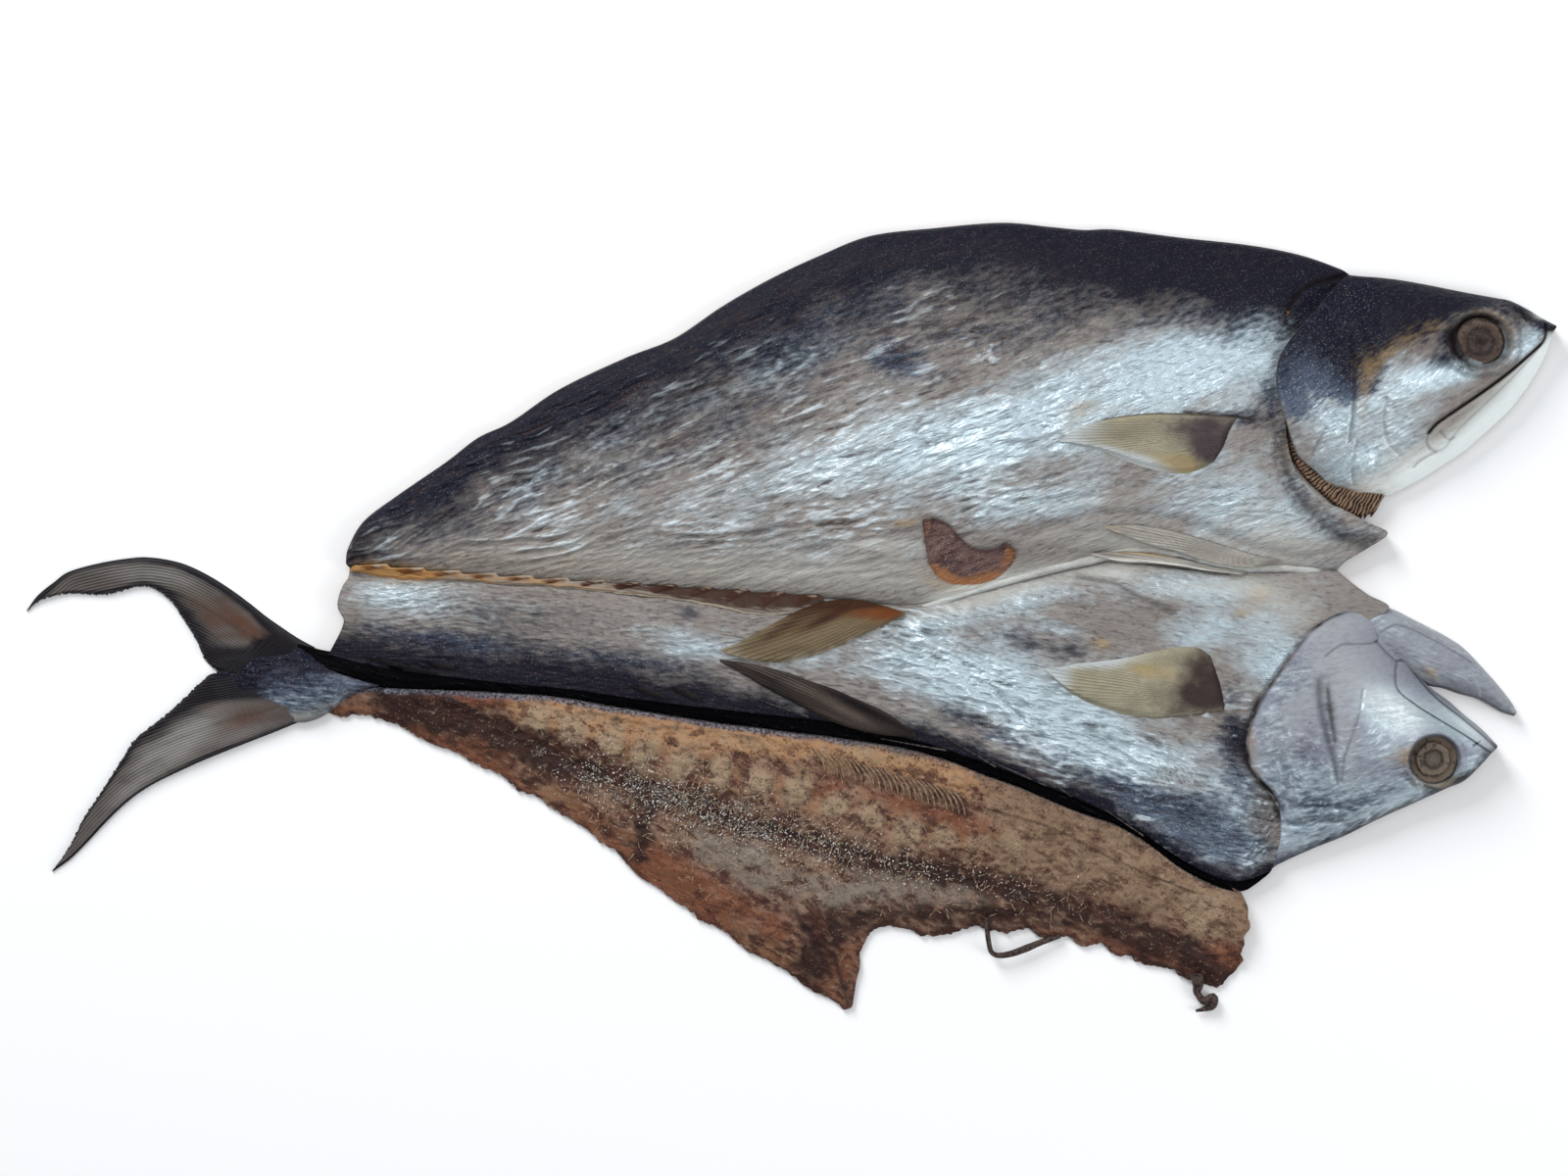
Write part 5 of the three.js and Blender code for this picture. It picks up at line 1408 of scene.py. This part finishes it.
def leaf_masks(x, y, u, v):
    seam, torn, blood = [away_from(line, x, y) for line in (leaf_seam, leaf_edge, blood_line)]
    wild = rough(x, y, 10, 4, 105)
    band = smooth(13, 4, seam) * smooth(-100, -75, x) * smooth(75, 45, x)
    bones = column(x, y) * (0.85 + 0.35 * wild)
    gaps = np.clip(np.exp(-(away_from(line_through(VERTEBRAE, 60), x, y) / 6.0) ** 2) * (1 - column(x, y)), 0, 1)
    line_blood = np.exp(-((blood + 3.5 * wild) / (5.0 - 1.4 * smooth(-20, 40, x))) ** 2) * (1 - 0.4 * smooth(40, 90, x))
    lower = smooth(16, 3, torn)
    crack = smooth(0.80, 0.97, 1 - np.abs(rough(x, y, 9, 3, 99))) * smooth(1, 5, torn)
    tail_part = smooth(-78, -98, x)
    return dict(
        orange=np.clip(0.85 * band + 0.5 * gaps * smooth(90, 60, x) + 0.35 * lower * smooth(40, 0, x) + 0.2 * wild
                       - 0.5 * tail_part, 0, 1),
        calm=smooth(48, 72, x) * smooth(5, 13, torn) * (1 - 0.7 * np.exp(-(blood / 7) ** 2)),
        tan=np.clip(1.0 * bones * (1 - 0.4 * smooth(30, 60, x)) + 0.45 * smooth(8, 18, x) * smooth(56, 44, x) * smooth(9, 5, seam)
                    + spots(x, y, [((105, -74), (34, 9), -22, 0.30), ((126, -92), (10, 9), 0, 0.45),
                                   ((-68, -30), (16, 4), -10, 0.5), ((-20, -38), (26, 4), -8, 0.4),
                                   ((30, -80), (16, 4), -10, 0.35), ((-65, -50), (8, 3), -30, 0.4)]), 0, 1),
        rust=np.clip(spots(x, y, [((-42, -76), (12, 8), -35, 0.95), ((-26, -84), (14, 6), -35, 0.8),
                                  ((-5, -95), (16, 6), -35, 0.65), ((38, -58), (18, 3), -18, 0.75),
                                  ((-98, -25), (16, 2.4), -5, 0.8), ((12, -52), (7, 3), 20, 0.6),
                                  ((15, -104), (4, 12), -20, 0.7), ((56, -64), (10, 4), -10, 0.5),
                                  ((-60, -60), (10, 4), -40, 0.6), ((132, -104), (7, 6), 0, 0.8),
                                  ((110, -103), (22, 5), -22, 0.6), ((-85, -42), (14, 4), -30, 0.5)])
                     + 0.4 * smooth(5, 1, torn) + 0.35 * tail_part + 0.3 * gaps, 0, 1),
        crust=spots(x, y, [((-18, -72), (22, 8), -25, 0.75), ((-60, -50), (16, 4), -25, 0.4),
                           ((20, -84), (24, 7), -5, 0.75), ((10, -68), (20, 4), -20, 0.5),
                           ((52, -84), (22, 5), -8, 0.5)]),
        blood=np.clip(line_blood * (0.8 + 0.6 * wild)
                      + spots(x, y, [((-108, -31), (18, 5), -12, 0.6), ((48, -92), (28, 4.5), -4, 0.6),
                                     ((110, -101), (22, 5), -22, 0.75), ((8, -104), (7, 12), -25, 0.8),
                                     ((-45, -68), (3, 7), -10, 0.8), ((130, -109), (7, 4), 0, 0.7),
                                     ((20, -94), (14, 4), 0, 0.4), ((-80, -40), (16, 5), -30, 0.5),
                                     ((70, -88), (18, 5), -10, 0.45)])
                      + 0.4 * smooth(2.5, 0.2, torn) + 0.40 * gaps * smooth(-0.1, 0.3, wild) + 0.22 * crack, 0, 1),
        salted=np.clip(np.exp(-((blood - 2) / 6) ** 2) * smooth(-95, -60, x) * smooth(45, -10, x)
                       * (0.45 + 0.9 * wild) + 0.5 * spot(x, y, (-8, -74), (20, 4), -20)
                       + 0.25 * np.exp(-(blood / 5) ** 2), 0, 1),
        frost=smooth(2.0, 0.7, seam - 0.9 * wild) * smooth(-140, -132, x) * (0.9 - 0.75 * smooth(10, 70, x)),
        line=np.clip(0.8 * groove([(13.4, -102), (16.4, -112), (18.2, -119)], 0.8, x, y)
                     + 0.8 * groove([(2, -90), (8, -100), (13, -110)], 1.1, x, y)
                     + 0.55 * groove([(60, -58.4), (80, -64.4), (100, -74.4), (124, -84.4)], 0.35, x, y), 0, 1))


leaf_place = leaf_between(LEAF_LOW, LEAF_HIGH, [(-141, -29.4), (-140.6, -28.4), (-140, -27.4)], LEAF_FRONT)


def torn_place(u, v):
    """The leaf's place, with the lower edge frayed."""
    x, y = leaf_place(u, v)
    fray = smooth(0.05, 0.0, v)
    return x + 0.5 * fray * swell(u * 160, v * 0, 106), y + 0.9 * fray * swell(u * 190, v * 0 + 3, 107)


backbone_leaf = grow("backbone_leaf", torn_place, (398, 122), leaf_top, leaf_under, leaf_masks,
                     flesh_finish("leaf_flesh"), ["backbone_leaf"])
leaf_bed = Bed([backbone_leaf])


def lying(points, above):
    """Path points (x, y) laid on the leaf, above it by so many mm."""
    x, y = np.array(points, float).T
    return np.column_stack([x, y, leaf_bed.height(x, y) + above])


fin_bones = [lying([(x - 3.2, -41.4 - 0.30 * (x - 15)), (x - 1.0, -43.6 - 0.30 * (x - 15)),
                    (x + 0.6, -46.4 - 0.30 * (x - 15)), (x + 1.2, -49.4 - 0.30 * (x - 15))], -0.05)
             for x in np.arange(10, 53, 1.85)]
thread("fin_bones", fin_bones, [0.14, 0.34, 0.36, 0.14], spine_finish("fin_bone", (0.15, 0.09, 0.055), (0.30, 0.215, 0.14)),
       ["backbone_leaf"])

rib_finish = spine_finish("rib", (0.014, 0.008, 0.008), (0.085, 0.055, 0.045))
thread("loose_rib", [[(60.4, -92, 3.4), (60.6, -96, 4), (61, -99.4, 4.4), (61.8, -102.4, 4.2), (64, -103.5, 3.8),
                     (68, -103, 3.2), (72, -101.6, 3), (77, -99.6, 2.8), (83, -97.6, 2.4)]],
       [0.9, 0.8, 0.75, 1.0, 1.15, 0.9, 0.7], rib_finish, ["loose_rib"])
thread("hanging_shred", [[(124.6, -109, 3), (125, -112.4, 3), (124.8, -115, 2.8), (127, -117.6, 2.6),
                         (129.6, -116.4, 2.6), (129.4, -119, 2.2), (127, -120, 1.8), (124.4, -120.6, 1.6)]],
       [2.2, 1.7, 1.0, 1.3, 1.5, 0.9, 0.4], rib_finish, ["backbone_leaf"])


# ---------------------------------------------------------------------------------------------
# Salt: coarse grains that stayed in the dark groove of the backbone, and the fine broken bones
# and fibres that stand up out of the flesh around them.

def salt_finish():
    salt = Finish("salt", Coat_Weight=0.4, Coat_Roughness=0.15)
    cloudy = salt.grain(1.5, 3.0)
    colour = salt.blend(salt.step(cloudy, 0.35, 0.65), (0.34, 0.29, 0.24), (0.74, 0.72, 0.68))
    return salt.wear(Base_Color=colour, Roughness=cloudy * 0.3 + 0.15, Normal=salt.relief(cloudy, 0.1, 0.5))


scatter = np.random.default_rng(5)


def strewn(name, count, spread, shape, finish):
    """Small bits dropped around the blood line: shape(maker, matrix) makes one of them."""
    maker = bmesh.new()
    share = 0.22 + 0.74 * scatter.beta(1.6, 3.4, count)
    x, y = along_line(blood_line, share)
    x, y = x + scatter.normal(0, spread, count), y + scatter.normal(0, spread, count) * (1.3 - share)
    sizes, turns = scatter.uniform(0.5, 1.0, count) ** 2, scatter.uniform(-1, 1, (count, 3))
    z = leaf_bed.height(x, y)
    lands = (y < np.interp(x, *leaf_seam.T) - 3) & (away_from(leaf_edge, x, y) > 2) & (z > 2)
    for i in np.flatnonzero(lands):
        shape(maker, Vector((x[i], y[i], z[i] + 0.05)) * MM, sizes[i], turns[i])
    mesh = bpy.data.meshes.new(name)
    maker.to_mesh(mesh)
    maker.free()
    mesh.materials.append(finish)
    return settle(name, mesh, ["backbone_leaf"])


def placed(at, turns, scale):
    turn = Matrix.Rotation(turns[2] * math.pi, 4, "Z") @ Matrix.Rotation(turns[0] * 0.9, 4, "X")
    turn = turn @ Matrix.Rotation(turns[1] * 0.9, 4, "Y")
    return Matrix.Translation(at) @ turn @ Matrix.Diagonal((*scale, 1.0))


def salt_grain(maker, at, size, turns):
    edge = (0.12 + 0.34 * size) * MM
    bmesh.ops.create_cube(maker, size=1.0, matrix=placed(at, turns, (edge, edge * 0.8, edge * 0.7)))


def fibre(maker, at, size, turns):
    lying = Matrix.Rotation(turns[2] * math.pi, 4, "Z") @ Matrix.Rotation(math.pi / 2 - 0.25 * abs(turns[0]), 4, "Y")
    bmesh.ops.create_cone(maker, cap_ends=True, segments=4, radius1=0.12 * MM, radius2=0.04 * MM,
                          depth=(1.0 + 2.4 * size) * MM, matrix=Matrix.Translation(at) @ lying)


strewn("salt_grains", 1300, 5.0, salt_grain, salt_finish())
strewn("fibres", 900, 11.0, fibre, spine_finish("fibre", (0.20, 0.13, 0.08), (0.50, 0.39, 0.28)))


# ---------------------------------------------------------------------------------------------
# The tail: two long lobes of fine grey rays between black edges, spread from a root that is
# still covered with dark blue skin.

UPPER_LEAD = [(-233.2, 1.9), (-230, 6.3), (-225, 10.4), (-220, 13.8), (-210, 16.5), (-200, 18), (-195, 18),
              (-190, 17.3), (-185, 16), (-180, 13.8), (-175, 11), (-170, 7.7), (-165, 4), (-160, 0),
              (-155, -3.5), (-150, -6.8), (-145, -9.5)]
UPPER_TRAIL = [(-233.2, 1.5), (-230, 4.4), (-226, 6), (-220, 7), (-210, 6.7), (-205, 7.6), (-199, 9.2),
               (-194, 8.4), (-189, 4.6), (-185, -1.2), (-181.4, -7), (-178.6, -13), (-174, -17), (-166, -18.6),
               (-156, -18.6)]
LOWER_LEAD = [(-225.4, -78.2), (-220, -74.3), (-215, -69.4), (-210, -64), (-205, -59), (-200, -54.8),
              (-195, -51.6), (-190, -49), (-180, -44.4), (-170, -40.3), (-160, -36.4), (-153, -33.6), (-146, -30.6)]
LOWER_TRAIL = [(-225.4, -77.8), (-222, -73.3), (-219, -68.3), (-216, -62), (-213, -57.4), (-210, -53), (-206.6, -47.6),
               (-203, -42), (-200, -37.5), (-195, -33.5), (-190, -29.5), (-185, -25), (-180, -20.2),
               (-175.6, -17.4), (-164, -18.6), (-152, -20)]
TAIL_THICK = 1.6


def tail_rays(lead, x, y):
    """The fine rays of a lobe run beside its leading edge and end one by one at the trailing edge."""
    from_edge = away_from(lead, x, y)
    spread = 0.62 + 0.30 * smooth(-150, -205, x)
    return from_edge, 1 - np.abs(np.sin(np.pi * from_edge / spread + 0.5 * swell(x / 9, y / 9, 111)))


def lobe(name, lead_points, trail_points, upper, edge, base, patches):
    lead = line_through(lead_points, 120)
    place = leaf_between(trail_points, lead_points) if upper else leaf_between(lead_points, trail_points)

    def frayed(u, v):
        x, y = place(u, v)
        loose = smooth(0.12, 0.0, v if upper else 1 - v) * smooth(0.92, 0.7, u)
        return x + 0.45 * loose * swell(u * 120, v * 0, 112), y + 0.6 * loose * swell(u * 140, v * 0 + 2, 113)

    def top(x, y, u, v):
        from_edge, ray = tail_rays(lead, x, y)
        z = 0.5 + TAIL_THICK * smooth(0, 1.2, from_edge) * (0.55 + 0.45 * smooth(-225, -170, x))
        z += 0.6 * np.exp(-((from_edge - 1.6) / 1.6) ** 2) * smooth(-232, -200, x)
        z += 0.28 * ray * smooth(1.0, 2.5, from_edge) + 0.35 * rough(x, y, 12, 3, 114)
        z += 2.6 * smooth(-178, -152, x) * smooth(0, 6, from_edge)
        return np.maximum(z * (0.35 + 0.65 * smooth(0.0, 0.06, 1 - v if not upper else v)), 0.35)

    def masks(x, y, u, v):
        from_edge, ray = tail_rays(lead, x, y)
        blank = dict(warm=x * 0, root=x * 0, rim=x * 0, line=x * 0, ray=ray)
        trailing = 1 - v if not upper else v
        reach = edge * (1 + 0.8 * smooth(-200, -165, x)) + 0.4 * rough(x, y, 6, 3, 115)
        inner = 0.24 + 0.26 * smooth(-205, -180, x)
        black = np.maximum(smooth(reach + 0.8, reach * 0.3, from_edge), smooth(inner, 0.02, trailing) ** 0.8)
        streaks = 0.38 * smooth(-0.1, 0.8, swell(x / 26, from_edge / 2.0, 116))
        return blank | dict(root=np.clip(black + base(x, y) + streaks, 0, 1)) | patches(x, y)

    def below(x, y, u, v):
        return 0.05 + 0.0 * x

    return grow(name, frayed, (300, 90), top, below, masks, tail_finish, ["tail"])


tail_finish = fin_finish("tail_fin", (0.135, 0.118, 0.108), (0.100, 0.048, 0.031), (0.006, 0.005, 0.008),
                         (0.24, 0.225, 0.215))
lobe("upper_tail_lobe", UPPER_LEAD, UPPER_TRAIL, True, 1.7,
     lambda x, y: 1.1 * smooth(-166, -154, x) + 0.9 * smooth(-8, -13, y - 0.2 * (x + 175)) + 0.5 * smooth(-222, -231, x),
     lambda x, y: dict(warm=spots(x, y, [((-166, -3), (15, 4), -38, 0.8), ((-178, 0), (12, 3), -50, 0.5)]),
                       rim=spots(x, y, [((-196, 13), (16, 3.5), -5, 0.75), ((-180, 6), (10, 3), -40, 0.3)])))
lobe("lower_tail_lobe", LOWER_LEAD, LOWER_TRAIL, False, 0.5,
     lambda x, y: 1.2 * smooth(9, 2.5, np.abs(y + 19 - 0.05 * (x + 170))) * smooth(-192, -176, x),
     lambda x, y: dict(warm=spots(x, y, [((-166, -31), (18, 4.5), 20, 0.6), ((-178, -26), (6, 4), 0, 0.5)]),
                       rim=spots(x, y, [((-186, -38), (17, 6), 35, 1.0), ((-203, -54), (14, 4), 45, 0.5),
                                        ((-165, -35), (12, 3), 20, 0.4)])))


def root_top(x, y, u, v):
    z = 1.6 + 5.2 * np.sin(np.pi * np.clip(v, 0.02, 0.98)) ** 0.6 * smooth(0.02, 0.6, u) ** 0.7
    z += 0.5 * rough(x, y, 8, 4, 121) + 0.3 * (folds(x, y, -4, 14, 1.6, 12) - 0.5)
    return np.maximum(z, 0.6)


def root_masks(x, y, u, v):
    crest = folds(x, y, -4, 12, 2.0, 12)
    dusk = np.clip(1.0 - spots(x, y, [((-144, -25), (17, 5), 5, 0.75), ((-136, -20), (8, 2.4), -10, 0.4),
                                      ((-152, -18), (10, 4), 0, 0.20), ((-160, -26), (8, 3), 20, 0.3)])
                   + 0.25 * smooth(-160, -172, x), 0, 1)
    return dict(dusk=dusk, silver=spots(x, y, [((-146, -27), (18, 4), 5, 0.9)]), blue=0.62 + 0 * x,
                stain=spots(x, y, [((-139, -27), (9, 1.6), 12, 0.6)]), crest=0.55 * crest, creased=0.3 + 0 * x,
                raw=x * 0, pale=spots(x, y, [((-150, -30.6), (9, 1.6), 4, 0.6)]), line=x * 0)


TAIL_ROOT_HIGH = [(-175, -17.0), (-172.4, -13.6), (-166, -9.2), (-158, -6.4), (-150, -8), (-145, -10.8), (-140, -14),
                  (-133, -18), (-125, -20.8)]
TAIL_ROOT_LOW = [(-175, -17.4), (-172, -21), (-166, -26.4), (-158, -30.6), (-150, -32.4), (-144, -31.2), (-139, -28),
                 (-133, -23.4), (-125, -21.2)]
grow("tail_root", leaf_between(TAIL_ROOT_LOW, TAIL_ROOT_HIGH), (150, 70), root_top, lambda x, y, u, v: 0.1 + 0 * x,
     root_masks, skin_finish("tail_root_skin", -4, LAVENDER), ["tail"])
